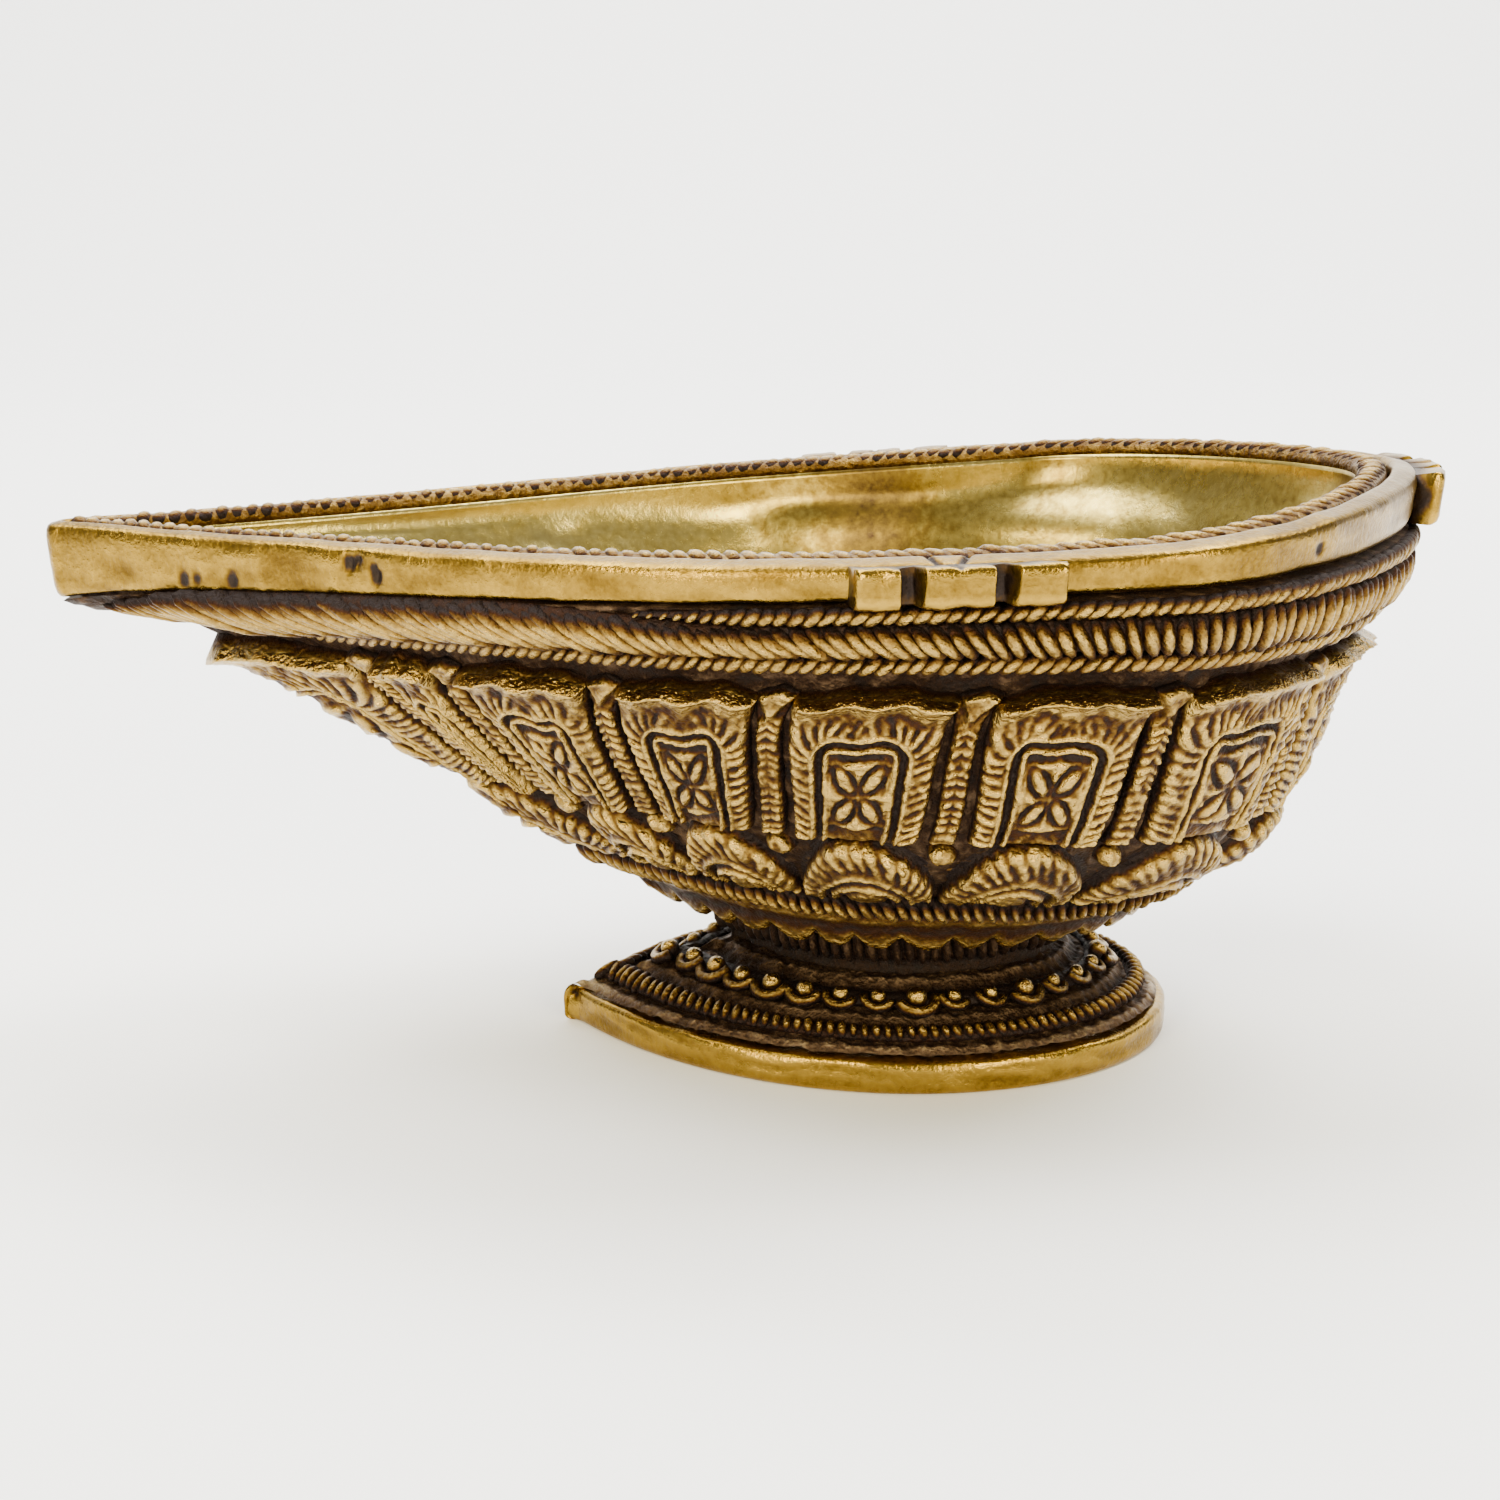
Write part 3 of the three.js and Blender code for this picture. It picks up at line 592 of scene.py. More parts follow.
def lug(name, middle, seed):
    rng = np.random.default_rng(seed)
    at = np.linspace(-LUG_HALF, LUG_HALF, 181)
    cut = sum(smooth((GROOVE_HALF + 0.25 - np.abs(at - side * GROOVE_AT - rng.uniform(-0.2, 0.2))) / 0.5)
              for side in (-1, 1))
    ends = np.sqrt(np.clip(1 - (np.clip(np.abs(at) - (LUG_HALF - 0.7), 0, 0.7) / 0.7) ** 2, 0, 1))
    proud = mix(LUG_PROUD, GROOVE_LEFT, cut) * mix(0.75, 1, ends)
    # the section: how far out, and how far down the band
    loop = [(-0.6, 0.06), (0.45, 0.02), (0.78, 0.0), (0.93, 0.05), (1.0, 0.16), (1.0, 0.34), (1.0, 0.5),
            (1.0, 0.66), (1.0, 0.84), (0.93, 0.95), (0.78, 1.0), (0.45, 0.99), (-0.6, 0.96)]
    shares = middle + at / rim_half_length
    reach = np.linspace(-1, LUG_PROUD, 20)
    tops = Surface([rim_row(-o, BAND_BEVEL - 0.2) for o in reach])
    feet = Surface([rim_row(-o, 0.3, BAND_FOOT) for o in reach])
    rows = []
    for out, down in loop:
        o = np.where(out < 0, out, mix(FIT, proud, max(out, 0)))
        row = np.interp(o, reach, np.arange(20))
        down = down + 0.05 * cut * (out > 0) * (1 - 2 * down)
        rows.append(mix(tops.at(shares, row), feet.at(shares, row), np.asarray(down)[..., None]))
    points = np.array(rows)
    worn = np.broadcast_to(0.35 - 1.5 * cut, points.shape[:2]).copy()
    worn[[2, 3, 4, 8, 9, 10]] += 0.5  # bright filed edges
    worn[[0, -1]] = -1
    for k, (out, down) in enumerate(loop[1:5], 1):
        cut_in = ridge(np.abs(at) - 0.7 + 0.9 * out, 0.25) if out < 0.9 else 0 * at
        points[k, :, 2] -= 0.3 * cut_in
        worn[k] -= 1.2 * cut_in
    points = points + 0.06 * ripple(points, 2.5, seed)[..., None]
    solid = tube(points, np.clip(worn, -1, 1), ring=False)
    return place(f"filed_{name}", [solid], [polished], "polished_brass", name)


side_share = share_at_x(LUG_X)
for k, (name, middle) in enumerate([("lug_left", side_share), ("lug_right", -side_share), ("lug_rear", 1.0)]):
    lug(name, middle, 40 + k)

# %% [markdown]
# ## The bowl
# The bowl is one casting. Inside it's burnished, with the shallow dents of years of scraping. Outside, the
# ground between the ornaments was never touched after casting, so it is rough and black. The rows of the
# grid start at the middle of the floor, climb the wall, cross the lip and go down the outside.

# %% The oil well and the ground
BOWL_WALL, TOP_ROPE, TOP_PROUD = 3.0, 1.7, 0.3
rope_fall = TOP_ROPE - TOP_PROUD
lip_fall = rope_fall + FIT
rope_outer = BAND_THICK + FIT


def faired(rows, count):
    """A smooth run of rows through the given ones, spaced evenly by index."""
    rows = np.array(rows)
    places = np.linspace(0, len(rows) - 1, count)
    i = np.minimum(places.astype(int), len(rows) - 2)
    t = (places - i)[:, None]
    a, b, c, d = (rows[np.clip(i + k, 0, len(rows) - 1)] for k in (-1, 0, 1, 2))
    return list(b + 0.5 * t * (c - a + t * (2 * a - 5 * b + 4 * c - d + t * (3 * (b - c) + d - a))))


wall_rows = [moved_out(w, -BOWL_WALL) for w in (SEAT - 0.3, MOUND_FOOT, 4.4, 3.8, 3.2, 2.6, ROPE_FOOT - 0.1)]
wall_rows += [rim_row(RIM_WIDTH, lip_fall + BOWL_WALL), rim_row(RIM_WIDTH, lip_fall)]


def burnished(rows, gap, reach, keep):
    """Spaces rows evenly down the side, then rounds every corner of the profile but keeps the lip's."""
    rows = np.array(rows)
    run = np.concatenate([[0], np.cumsum(np.linalg.norm(np.diff(rows[:, [HALF, Z_SIDE]], axis=0), axis=1))])
    even = np.linspace(0, run[-1], int(run[-1] / gap))
    rows = np.stack([np.interp(even, run, rows[:, k]) for k in range(rows.shape[1])], 1)
    soft = blur(rows, (reach / gap, 0.2))
    held = smooth((even - run[-1] + keep) / keep)[:, None]
    return list(mix(soft, rows, held))


inside = burnished(faired(wall_rows, 160), 0.5, 3.5, 4.0)
lip_rows = [rim_row(mix(RIM_WIDTH, rope_outer, t), lip_fall) for t in (0.3, 0.7, 1.0)]
lip_rows += [rim_row(rope_outer, FIT, BAND_FOOT)]
outside = lip_rows + [level(w) for w in np.linspace(BAND_FOOT + 0.08, SEAT, 90)]
columns = 440
shares = np.arange(columns) / columns * 2 - 1
well, ground = outlines(inside, shares), outlines(outside, shares)
spokes = np.linspace(0.04, 0.96, 22)[:, None, None]
dish = mix(well[0].mean(0), well[0], spokes) - 1.2 * (1 - spokes ** 2) * [0, 0, 1]
well = np.concatenate([dish, well])
depth_below_lip = np.linalg.norm(well[-1] - well, axis=-1).min(1)[:, None]
# blurring fills the corner at the floor and the crease over the keel, as a scraper leaves them
soft = np.stack([blur(well[..., k], (9, 22), wrap=True) for k in range(3)], -1)
well = mix(well, soft, smooth((depth_below_lip - 1.0) / 8)[..., None])
facing = np.cross(np.roll(well, -1, 1) - np.roll(well, 1, 1), np.gradient(well, axis=0))
facing /= np.linalg.norm(facing, axis=-1, keepdims=True) + 1e-12
dents = 0.4 * ripple(well, 26, 5) + 0.11 * ripple(well, 10, 6)
well = well + facing * (dents * smooth(depth_below_lip / 7))[..., None]
stains_and_painted_reflections = 0.25 * ripple(well * [1, 1, 0.6], 30, 7) + 0.5 * smooth((-0.05 - dents) / 0.3)
stains_and_painted_reflections = stains_and_painted_reflections - 0.9 * smooth((depth_below_lip - 12) / 16)  # old oil darkens the floor
stains_and_painted_reflections = stains_and_painted_reflections - 1.1 * ridge(well[..., 0] - 17, 8) * smooth(well[..., 1] / 10)  # painted dark reflection: a dark run down the far wall of the well
stains_and_painted_reflections = stains_and_painted_reflections + 0.6 * smooth((-2 - well[..., 0]) / 16)  # painted bright reflection: the spout end of the well is made lighter
skin = 0.14 * ripple(ground, 2.6, 8) + 0.1 * ripple(ground, 1.3, 9)
outward = np.cross(np.roll(ground, -1, 1) - np.roll(ground, 1, 1), np.gradient(ground, axis=0))
outward /= np.linalg.norm(outward, axis=-1, keepdims=True) + 1e-12
below_band = (np.arange(len(ground)) > len(lip_rows))[:, None]
ground = ground + outward * (skin * below_band)[..., None]
bowl_points = np.concatenate([well, ground])
bowl_wear_and_painted_reflections = np.concatenate([np.clip(stains_and_painted_reflections, -1, 1), np.clip(skin * 2.2 - 0.4, -1, 1)])


def well_or_ground(vertices, faces):
    first_outside = len(well) * columns
    return [0 if min(f) < first_outside else 1 for f in faces]


place("burnished_oil_bowl", [vessel(bowl_points, bowl_wear_and_painted_reflections)], [smooth_well, dark], "smooth_brass", "oil_bowl",
      which=well_or_ground)

# %% [markdown]
# ## Ropes, grown on a path
# Seven ropes circle the lamp. On the wax they were rolled strings pressed with a slanting tool, so each is a
# row of leaning strokes on a low bed. A geometry tree does just that: it walks a path in steps of one pitch,
# sets a stroke at each step, turns it to face out of the surface, leans it and varies it a little. The path
# brings its own outward direction, lean and size, so one tree serves every rope on the lamp.

# %% The stroke tree
def rope_tree():
    tree = bpy.data.node_groups.new("strokes_along_a_path", "GeometryNodeTree")
    face = tree.interface
    face.new_socket("Geometry", in_out="INPUT", socket_type="NodeSocketGeometry")
    first_values = {"Pitch": 0.0015, "Thickness": 0.0009, "Length": 0.002, "Height": 0.001, "Jitter": 0.15}
    for name, value in first_values.items():
        face.new_socket(name, in_out="INPUT", socket_type="NodeSocketFloat").default_value = value
    face.new_socket("Seed", in_out="INPUT", socket_type="NodeSocketInt")
    face.new_socket("Finish", in_out="INPUT", socket_type="NodeSocketMaterial")
    face.new_socket("Geometry", in_out="OUTPUT", socket_type="NodeSocketGeometry")
    given = node(tree, "NodeGroupInput").outputs

    def named(name, kind):
        made = node(tree, "GeometryNodeInputNamedAttribute", {"Name": name}, data_type=kind)
        return made.outputs["Attribute"]

    def varied(low, high, seed_offset):
        seed = node(tree, "ShaderNodeMath", {0: given["Seed"], 1: float(seed_offset)}, operation="ADD")
        return node(tree, "FunctionNodeRandomValue", {2: low, 3: high, "Seed": seed.outputs[0]}).outputs[1]

    def maths(operation, a, b, c=0.0):
        return node(tree, "ShaderNodeMath", {0: a, 1: b, 2: c}, operation=operation).outputs[0]

    path = node(tree, "GeometryNodeMeshToCurve", {"Mesh": given["Geometry"]}).outputs[0]
    steps = node(tree, "GeometryNodeResampleCurve", {"Curve": path, "Length": given["Pitch"]}, mode="LENGTH")
    ball = node(tree, "GeometryNodeMeshUVSphere", {"Segments": 10, "Rings": 6, "Radius": 1.0}).outputs["Mesh"]
    position = node(tree, "GeometryNodeInputPosition").outputs[0]
    top = node(tree, "ShaderNodeSeparateXYZ", {0: position}).outputs["Z"]
    limits = {"Value": top, "From Min": 0.05, "From Max": 0.95, "To Min": -1.0, "To Max": 0.5}
    values = {"Geometry": ball, "Name": "wear", "Value": node(tree, "ShaderNodeMapRange", limits).outputs[0]}
    stroke = node(tree, "GeometryNodeStoreNamedAttribute", values, data_type="FLOAT").outputs[0]
    tangent = node(tree, "GeometryNodeInputTangent").outputs[0]
    values = {"Primary Axis": named("outward", "FLOAT_VECTOR"), "Secondary Axis": tangent}
    facing = node(tree, "FunctionNodeAxesToRotation", values, primary_axis="Z", secondary_axis="X").outputs[0]
    sway = maths("MULTIPLY", varied(-1.0, 1.0, 1), given["Jitter"])
    turn = maths("MULTIPLY_ADD", sway, 0.5, named("lean", "FLOAT"))
    values = {"Axis": (0.0, 0.0, 1.0), "Angle": turn}
    spin = node(tree, "FunctionNodeAxisAngleToRotation", values).outputs[0]
    values = {"Rotation": facing, "Rotate By": spin}
    rotation = node(tree, "FunctionNodeRotateRotation", values, rotation_space="LOCAL").outputs[0]
    size = named("size", "FLOAT")
    free = [maths("MULTIPLY_ADD", varied(-1.0, 1.0, k), given["Jitter"], 1.0) for k in (2, 3, 4)]
    growth = (size, named("reach", "FLOAT"), size)
    sizes = [maths("MULTIPLY", maths("MULTIPLY", grow, vary), given[part])
             for grow, vary, part in zip(growth, free, ("Thickness", "Length", "Height"))]
    scale = node(tree, "ShaderNodeCombineXYZ", dict(enumerate(sizes))).outputs[0]
    values = {"Points": steps.outputs[0], "Instance": stroke, "Rotation": rotation, "Scale": scale}
    set_out = node(tree, "GeometryNodeInstanceOnPoints", values).outputs[0]
    real = node(tree, "GeometryNodeRealizeInstances", {"Geometry": set_out}).outputs[0]
    done = node(tree, "GeometryNodeSetMaterial", {"Geometry": real, "Material": given["Finish"]}).outputs[0]
    node(tree, "NodeGroupOutput", {"Geometry": done})
    return tree


stroke_tree = rope_tree()


def grown(tree, path, finish, closed, sizes, seed):
    """Runs a tree on a path, given as points and attributes in millimetres, and returns what it made."""
    points = path["points"]
    count = len(points)
    mesh = bpy.data.meshes.new("path")
    edges = [(k, (k + 1) % count) for k in range(count if closed else count - 1)]
    mesh.from_pydata((points * MM).tolist(), edges, [])
    for name, values in path.items():
        if name != "points":
            vector = values.ndim == 2
            attribute = mesh.attributes.new(name, "FLOAT_VECTOR" if vector else "FLOAT", "POINT")
            attribute.data.foreach_set("vector" if vector else "value", values.astype(np.float32).ravel())
    guide = bpy.data.objects.new("path", mesh)
    bpy.context.scene.collection.objects.link(guide)
    modifier = guide.modifiers.new("strokes", "NODES")
    modifier.node_group = tree
    sockets = {item.name: item.identifier for item in tree.interface.items_tree if item.in_out == "INPUT"}
    for name, value in {**sizes, "Seed": seed, "Finish": finish}.items():
        scaled = value * MM if name in ("Pitch", "Thickness", "Length", "Height") else value
        modifier[sockets[name]] = scaled
    graph = bpy.context.evaluated_depsgraph_get()
    made = bpy.data.meshes.new_from_object(guide.evaluated_get(graph))
    positions = np.empty(len(made.vertices) * 3, np.float32)
    made.vertices.foreach_get("co", positions)
    wear = np.empty(len(made.vertices), np.float32)
    made.attributes["wear"].data.foreach_get("value", wear)
    faces = [list(polygon.vertices) for polygon in made.polygons]
    bpy.data.objects.remove(guide)
    bpy.data.meshes.remove(made)
    return positions.reshape(-1, 3) / MM, faces, wear


# %% [markdown]
# ## Where each rope runs
# A rope's bed is a tube with a low round section. Three ropes hang under the band, thin out towards the
# spout and stop there. One lies on the rim. The others ring the base, the neck and the foot.

# %% Beds and strokes
def rope(name, spot, half, proud, shares, slot, finish, stroke, lean, size=1, ring=True, seed=1, nodes=(),
         crown=0.42, bed_wear=-0.55, rub=1.0):
    """Spot(share, across, out) gives a point, and half is how far the rope reaches to either side of its
    middle. Stroke is (pitch, half thickness, half length as a share of the width). Crown is how high the bed
    swells between the strokes, bed_wear its wear, and rub how much a cloth brightens the strokes."""
    size, half = size * np.ones(len(shares)), half * np.ones(len(shares))
    arch = np.linspace(0, np.pi, 9)
    section = [(-1, -0.5)] + [(-math.cos(a), crown * math.sin(a)) for a in arch] + [(1, -0.5)]
    bed = np.array([spot(shares, half * place_across * size, FIT + proud * out * size)
                    for place_across, out in section])
    middle = spot(shares, 0 * shares, FIT + 0.3 * proud * size)
    above = spot(shares, 0 * shares, FIT + 0.3 * proud * size + 1)
    edges = [spot(shares, side * half * size, FIT * size) for side in (1, -1)]
    across = np.linalg.norm(edges[0] - edges[1], axis=-1)
    usual = float(np.median(across))
    path = {"points": middle, "outward": above - middle, "lean": lean * np.ones(len(shares)), "size": size,
            "reach": across / usual}
    sizes = {"Pitch": stroke[0], "Thickness": stroke[1], "Length": usual * stroke[2],
             "Height": proud * 0.8, "Jitter": 0.14}
    points, faces, wear = grown(stroke_tree, path, finish, ring, sizes, seed)
    strokes = points, faces, rub * (wear + 1) - 1
    place(name, [tube(bed, np.array(bed_wear), ring), strokes], [finish], slot, *nodes)


def on_hull(base):
    return lambda shares, across, out: hull(shares, base + across, out)


def front(shares, start, end):
    """1 towards the spout and 0 towards the rear, changing between two shares."""
    return smooth((end - np.abs((shares + 1) % 2 - 1)) / (end - start))


# name, place, half width, proud, start, stroke, and lean at the front and the rear. A stroke is its pitch,
# its half thickness, and its half length as a share of the rope's width. Lean is in radians from upright.
for name, at, half, proud, start, stroke, slant in [
        ("upper_rope", 0.17, 0.08, 1.1, 0.4, (1.4, 0.62, 1.2), (-1.0, -1.0)),
        ("main_rope", 0.5, 0.21, 1.9, 0.03, (1.5, 0.8, 0.68), (0.95, 0.12)),
        ("lower_rope", 0.86, 0.11, 1.2, 0.08, (1.4, 0.64, 1.05), (-0.9, -0.9))]:
    rope_shares = np.linspace(start, 2 - start, 700)
    from_end = np.minimum(rope_shares - start, 2 - start - rope_shares) / 0.07
    taper = mix(0.35, 1, np.clip(from_end, 0, 1))
    side = np.where(rope_shares > 1, 1, -1)
    lean = side * mix(slant[1], slant[0], front(rope_shares, 0.45, 0.75))
    # where the upper rope has run out, the main rope is wider and meets the band
    wider = (name == "main_rope") * front(rope_shares, 0.3, 0.45)
    spot = on_hull(BAND_FOOT + at - 0.12 * wider)
    half = half + 0.14 * wider
    rope(name + "_strokes", spot, half, proud, rope_shares, "chased_brass", chased, stroke, lean, taper,
         ring=False, seed=int(100 * at), nodes=[name], crown=0.62)


# %% [markdown]
# ### The rope on the rim
# This rope lies in the corner between the band and the well, on the bowl's lip. Rows between the band's
# inner edge and the well's edge give its width, so it follows the leaf and turns the sharp tip with it.

# %% The rope on the rim
rim_rope_rows = [rim_row(mix(rope_outer, RIM_WIDTH, t), rope_fall) for t in np.linspace(0, 1, 9)]
rim_rope_surface = Surface(rim_rope_rows)


def on_rim(shares, across, out):
    """The rim's top runs level, so out is simply up. Across runs from the well to the band, which turns the
    bed's faces outwards."""
    point = rim_rope_surface.at(shares, (1 - across) * 4)
    point[..., 2] += out
    return point


ring_shares = np.linspace(0, 2, 900, endpoint=False)
lean = np.where(ring_shares > 1, 0.75, -0.75)
rope("rim_top_strokes", on_rim, 0.97, 1.12, ring_shares, "chased_brass", chased, (1.7, 0.85, 0.56), lean,
     seed=3, nodes=["rim_top_rope"], crown=0.85, bed_wear=0.1)

# %% [markdown]
# ## The petals
# Fourteen lotus petals and one on the keel cover the bowl's flank. Each has a turned-out lip, a feathered
# fringe that fans round an arch, two thin lines that frame a raised cushion, and a four-petalled flower on
# the cushion. It is carved relief, so each petal is a fine grid whose height is drawn with distances: the
# distance to the arch places the lines, and the length along the arch counts the strokes.

# %% How high the carving stands
def feathered(along, out, pitch, lean, seed):
    """Strokes counted along a line. Each has its own strength, and out leans them over."""
    turns = (along + lean * out + 0.12 * np.sin(along * 1.7 + seed)) / pitch
    number = np.round(turns)
    strength = 0.75 + 0.25 * np.sin(number * 12.9898 + seed * 3.7)
    return strength * (0.5 + 0.5 * np.cos(2 * np.pi * turns)) ** 0.6


def arch_distance(x, y, half, top, corner):
    """Distance out from an arch with rounded corners, and the length along it from its crown."""
    side, up = np.abs(x) - (half - corner), (top + corner) - y
    distance = np.hypot(np.maximum(side, 0), np.maximum(up, 0)) + np.minimum(np.maximum(side, up), 0) - corner
    angle = np.arctan2(np.maximum(up, 0), np.maximum(side, 1e-9))
    bend = corner + 1.5
    along = np.where(up <= 0, half - corner + bend * np.pi / 2 - up,
                     np.where(side <= 0, np.abs(x), half - corner + bend * (np.pi / 2 - angle)))
    return distance, along


def flower(p, q):
    """A four-petalled flower in a square from -1 to 1: a cross of ridges and four almond hollows."""
    a, b = (np.abs(p) + np.abs(q)) / math.sqrt(2), (np.abs(p) - np.abs(q)) / math.sqrt(2)
    almond = np.sqrt(((a - 0.64) / 0.52) ** 2 + (b / 0.27) ** 2)
    cross = np.maximum(ridge(p, 0.08), ridge(q, 0.08)) * smooth((1 - np.maximum(np.abs(p), np.abs(q))) * 4)
    rim = ridge(np.maximum(np.abs(p), np.abs(q)) - 1.0, 0.12)
    petals = 0.3 * smooth(1.2 - almond) - 0.42 * ridge(almond - 0.98, 0.3)
    return 0.2 * cross + petals * (np.maximum(np.abs(p), np.abs(q)) < 0.98) + 0.16 * rim


def petal_relief(x, y, half, length, seed):
    """Height in millimetres over a petal half wide and length long. x runs across and y down."""
    frame, top = 0.63 * half, 0.33 * length
    distance, along = arch_distance(x, y, frame, top, 0.42 * frame)
    lip = smooth((0.26 * length - y) / (0.1 * length))
    feathers = feathered(along, distance, 1.12, 0.4, seed) * smooth((distance - 0.35) * 3) * (1 - 0.94 * lip)
    crown_smooth = 1 - 0.55 * ridge(x, 0.28 * half) * (y < top)
    relief = 0.5 * feathers * crown_smooth
    relief += 0.42 * ridge(distance - 0.15, 0.3) - 0.48 * ridge(distance + 0.55, 0.33)
    relief += 0.3 * ridge(distance + 1.15, 0.28) - 0.35 * smooth((-1.3 - distance) * 3)
    relief += 0.15 * lip * np.cos(3 * np.pi * x / half)
    middle, tall, wide = 0.655 * length, 0.2 * length, frame - 1.5
    p, q = x / wide, (y - middle) / tall
    box = np.maximum(np.abs(p), np.abs(q)) + 0.12 * np.abs(p * q)
    cushion = smooth((1.14 - box) * 5)
    return relief + cushion * (0.55 + flower(p, q))


# %% [markdown]
# ### Plates on the hull
# Fifteen rib lines divide the outline, and they lean towards the keel on their way down, as the veins of a
# leaf do. A bay is the space between two of them. Each petal fills a bay, less half a rib and a little play.

# %% Carved plates on the hull
RIB_SHARES = [0.138, 0.212, 0.34, 0.458, 0.579, 0.695, 0.845]
RIB_WIDTH, PETAL_PLAY = 2.6, 0.35


def lean_share(start, w):
    """The line that starts at a share of the recess draws in towards the keel on its way down."""
    pull = 0.75 * np.clip(w - RECESS, 0, 1)
    share = 2 - start if start > 1 else start
    leaned = share * (1 - pull * (1 - abs(share)) ** 2)
    return 2 - leaned if start > 1 else leaned


def bay(first, second, w):
    a, b = lean_share(first, w), lean_share(second, w)
    return (a + b) / 2, (b - a) / 2


def on_bay(first, second, place_across, w, play, narrow=1.0):
    middle, half = bay(first, second, w)
    return middle + place_across * (half - play / half_length(w)) * narrow


def carved(shares, levels, base, relief, edge, reach, rub_and_highlight=0.0):
    """A plate on the hull. Base and relief are heights, edge the distance in from its outline, and the last
    argument what is added to the wear: rubbing by a cloth and, on the petals' lips, a painted highlight."""
    rounding = np.sqrt(1 - (1 - np.clip(edge / 0.9, 0, 1)) ** 2)
    flat = hull(shares, levels)
    cast = 0.1 * ripple(flat, 3.2, 21) + 0.07 * ripple(flat, 1.1, 22) + 0.045 * ripple(flat, 0.6, 23)
    height = (base + relief + cast) * rounding
    wear = rubbed((0.4 * base + relief + cast) * rounding, reach, 0.3) * 0.9 - 0.8 * (1 - rounding) + rub_and_highlight
    return plate(hull(shares, levels, height), hull(shares, levels, -0.35), np.clip(wear, -1, 1))


def petal(name, first, second, seed, node_name, columns=96, rows=110):
    c = np.linspace(-1, 1, columns)[None, :] * np.ones((rows, 1))
    v = np.linspace(0, 1, rows)[:, None] * np.ones((1, columns))
    wave = 0.014 * np.cos(3 * np.pi * c + seed) + 0.01 * np.sin(5 * c + 2 * seed)
    w = RECESS + mix(0.04 + 0.09 * np.abs(c) ** 3 + wave, 0.97, v)
    shares = on_bay(first, second, c, w, RIB_WIDTH / 2 + PETAL_PLAY, mix(1, 0.9, v))
    spots = hull(shares, w)
    half = np.linalg.norm(np.diff(spots[rows // 2], axis=0), axis=-1).sum() / 2
    length = np.linalg.norm(np.diff(spots[:, columns // 2], axis=0), axis=-1).sum()
    x, y = c * half, v * length
    base = 1.3 + 0.5 * (1 - c ** 2) + 2.0 * np.maximum(0, 1 - 4 * v) ** 2
    edge = np.minimum(half * (1 - np.abs(c)), np.minimum(y * 1.3, length - y))
    cell = (0.8 / (length / rows), 0.8 / (2 * half / columns))
    # the lip band is made lighter: partly real rubbing of the crest, partly a painted highlight for its
    # glints
    lip_rub_and_painted_highlight = 1.1 * smooth((0.2 * length - y) / (0.12 * length))
    solid = carved(shares, w, base, petal_relief(x, y, half, length, seed), edge, cell, lip_rub_and_painted_highlight)
    return place(name, [solid], [chased], "chased_brass", node_name)


rib_starts = RIB_SHARES + [1.0] + [2 - s for s in reversed(RIB_SHARES)]
petal("carved_petal_keel", -RIB_SHARES[0], RIB_SHARES[0], 1, "petal_keel", columns=130)
for i, (first, second) in enumerate(zip(rib_starts[:-1], rib_starts[1:]), 1):
    petal(f"carved_petal_{i:02d}", first, second, i + 1, f"petal_{i:02d}")

# %% [markdown]
# ## Mounds and ribs
# Under each petal a half-round mound repeats the fringe on a smaller scale. Between the petals a rib runs
# down: a smooth wedge at its top, a ladder of rungs, and an egg-shaped boss between two mounds.

# %% Mounds
def mound(name, first, second, seed, node_name, columns=86, rows=52):
    c = np.linspace(-1, 1, columns)[None, :] * np.ones((rows, 1))
    v = np.linspace(0, 1, rows)[:, None] * np.ones((1, columns))
    arch = mix(0.3, 1, np.sqrt(1 - c ** 2))
    w = PETAL_FOOT + mix(mix(0.97, -0.04, arch), 0.97, v)
    shares = on_bay(first, second, c, w, 0, 0.97)
    spots = hull(shares, w)
    half = np.linalg.norm(np.diff(spots[-1], axis=0), axis=-1).sum() / 2
    length = np.linalg.norm(np.diff(spots[:, columns // 2], axis=0), axis=-1).sum()
    down = mix(length * (1 - arch), length, v)
    radius = np.hypot(c, (length - down) / length)
    angle = np.arctan2((length - down) / length, c)
    out = (radius - 0.7) * length
    fringe = feathered(angle * half * 0.85, out, 1.05, 0.25, seed) * smooth((radius - 0.7) * 9)
    arches = [(0.4, 0.68, 0.05), (-0.5, 0.58, 0.05), (0.35, 0.48, 0.05), (-0.45, 0.36, 0.07), (0.35, 0, 0.25)]
    relief = 0.45 * fringe + sum(high * ridge(radius - at, width) for high, at, width in arches)
    base = 1.1 + 1.5 * (1 - c ** 2) * np.sin(np.pi * mix(0.2, 1, v)) * 0.8
    edge = np.minimum((1 - radius) * length * 1.2, (length - down) * 1.5 + 0.25)
    edge = np.minimum(np.maximum(edge, 0), half * (1 - np.abs(c)) * 1.2)
    cell = (0.6 / (length / rows), 0.6 / (2 * half / columns))
    solid = carved(shares, w, base, relief, edge, cell)
    return place(name, [solid], [chased], "chased_brass", node_name)


mound("carved_mound_keel", -RIB_SHARES[1], RIB_SHARES[1], 3, "mound_keel", columns=110)
for i in range(2, 14):
    mound(f"carved_mound_{i:02d}", rib_starts[i - 1], rib_starts[i], i + 5, f"mound_{i:02d}")


# %% [markdown]
# ### Ribs
# A rib is one narrow plate carved from top to bottom: wedge, ladder and boss follow from the distance y
# down its middle. The two ribs by the keel end at the keel's wide mound, so they have no boss.

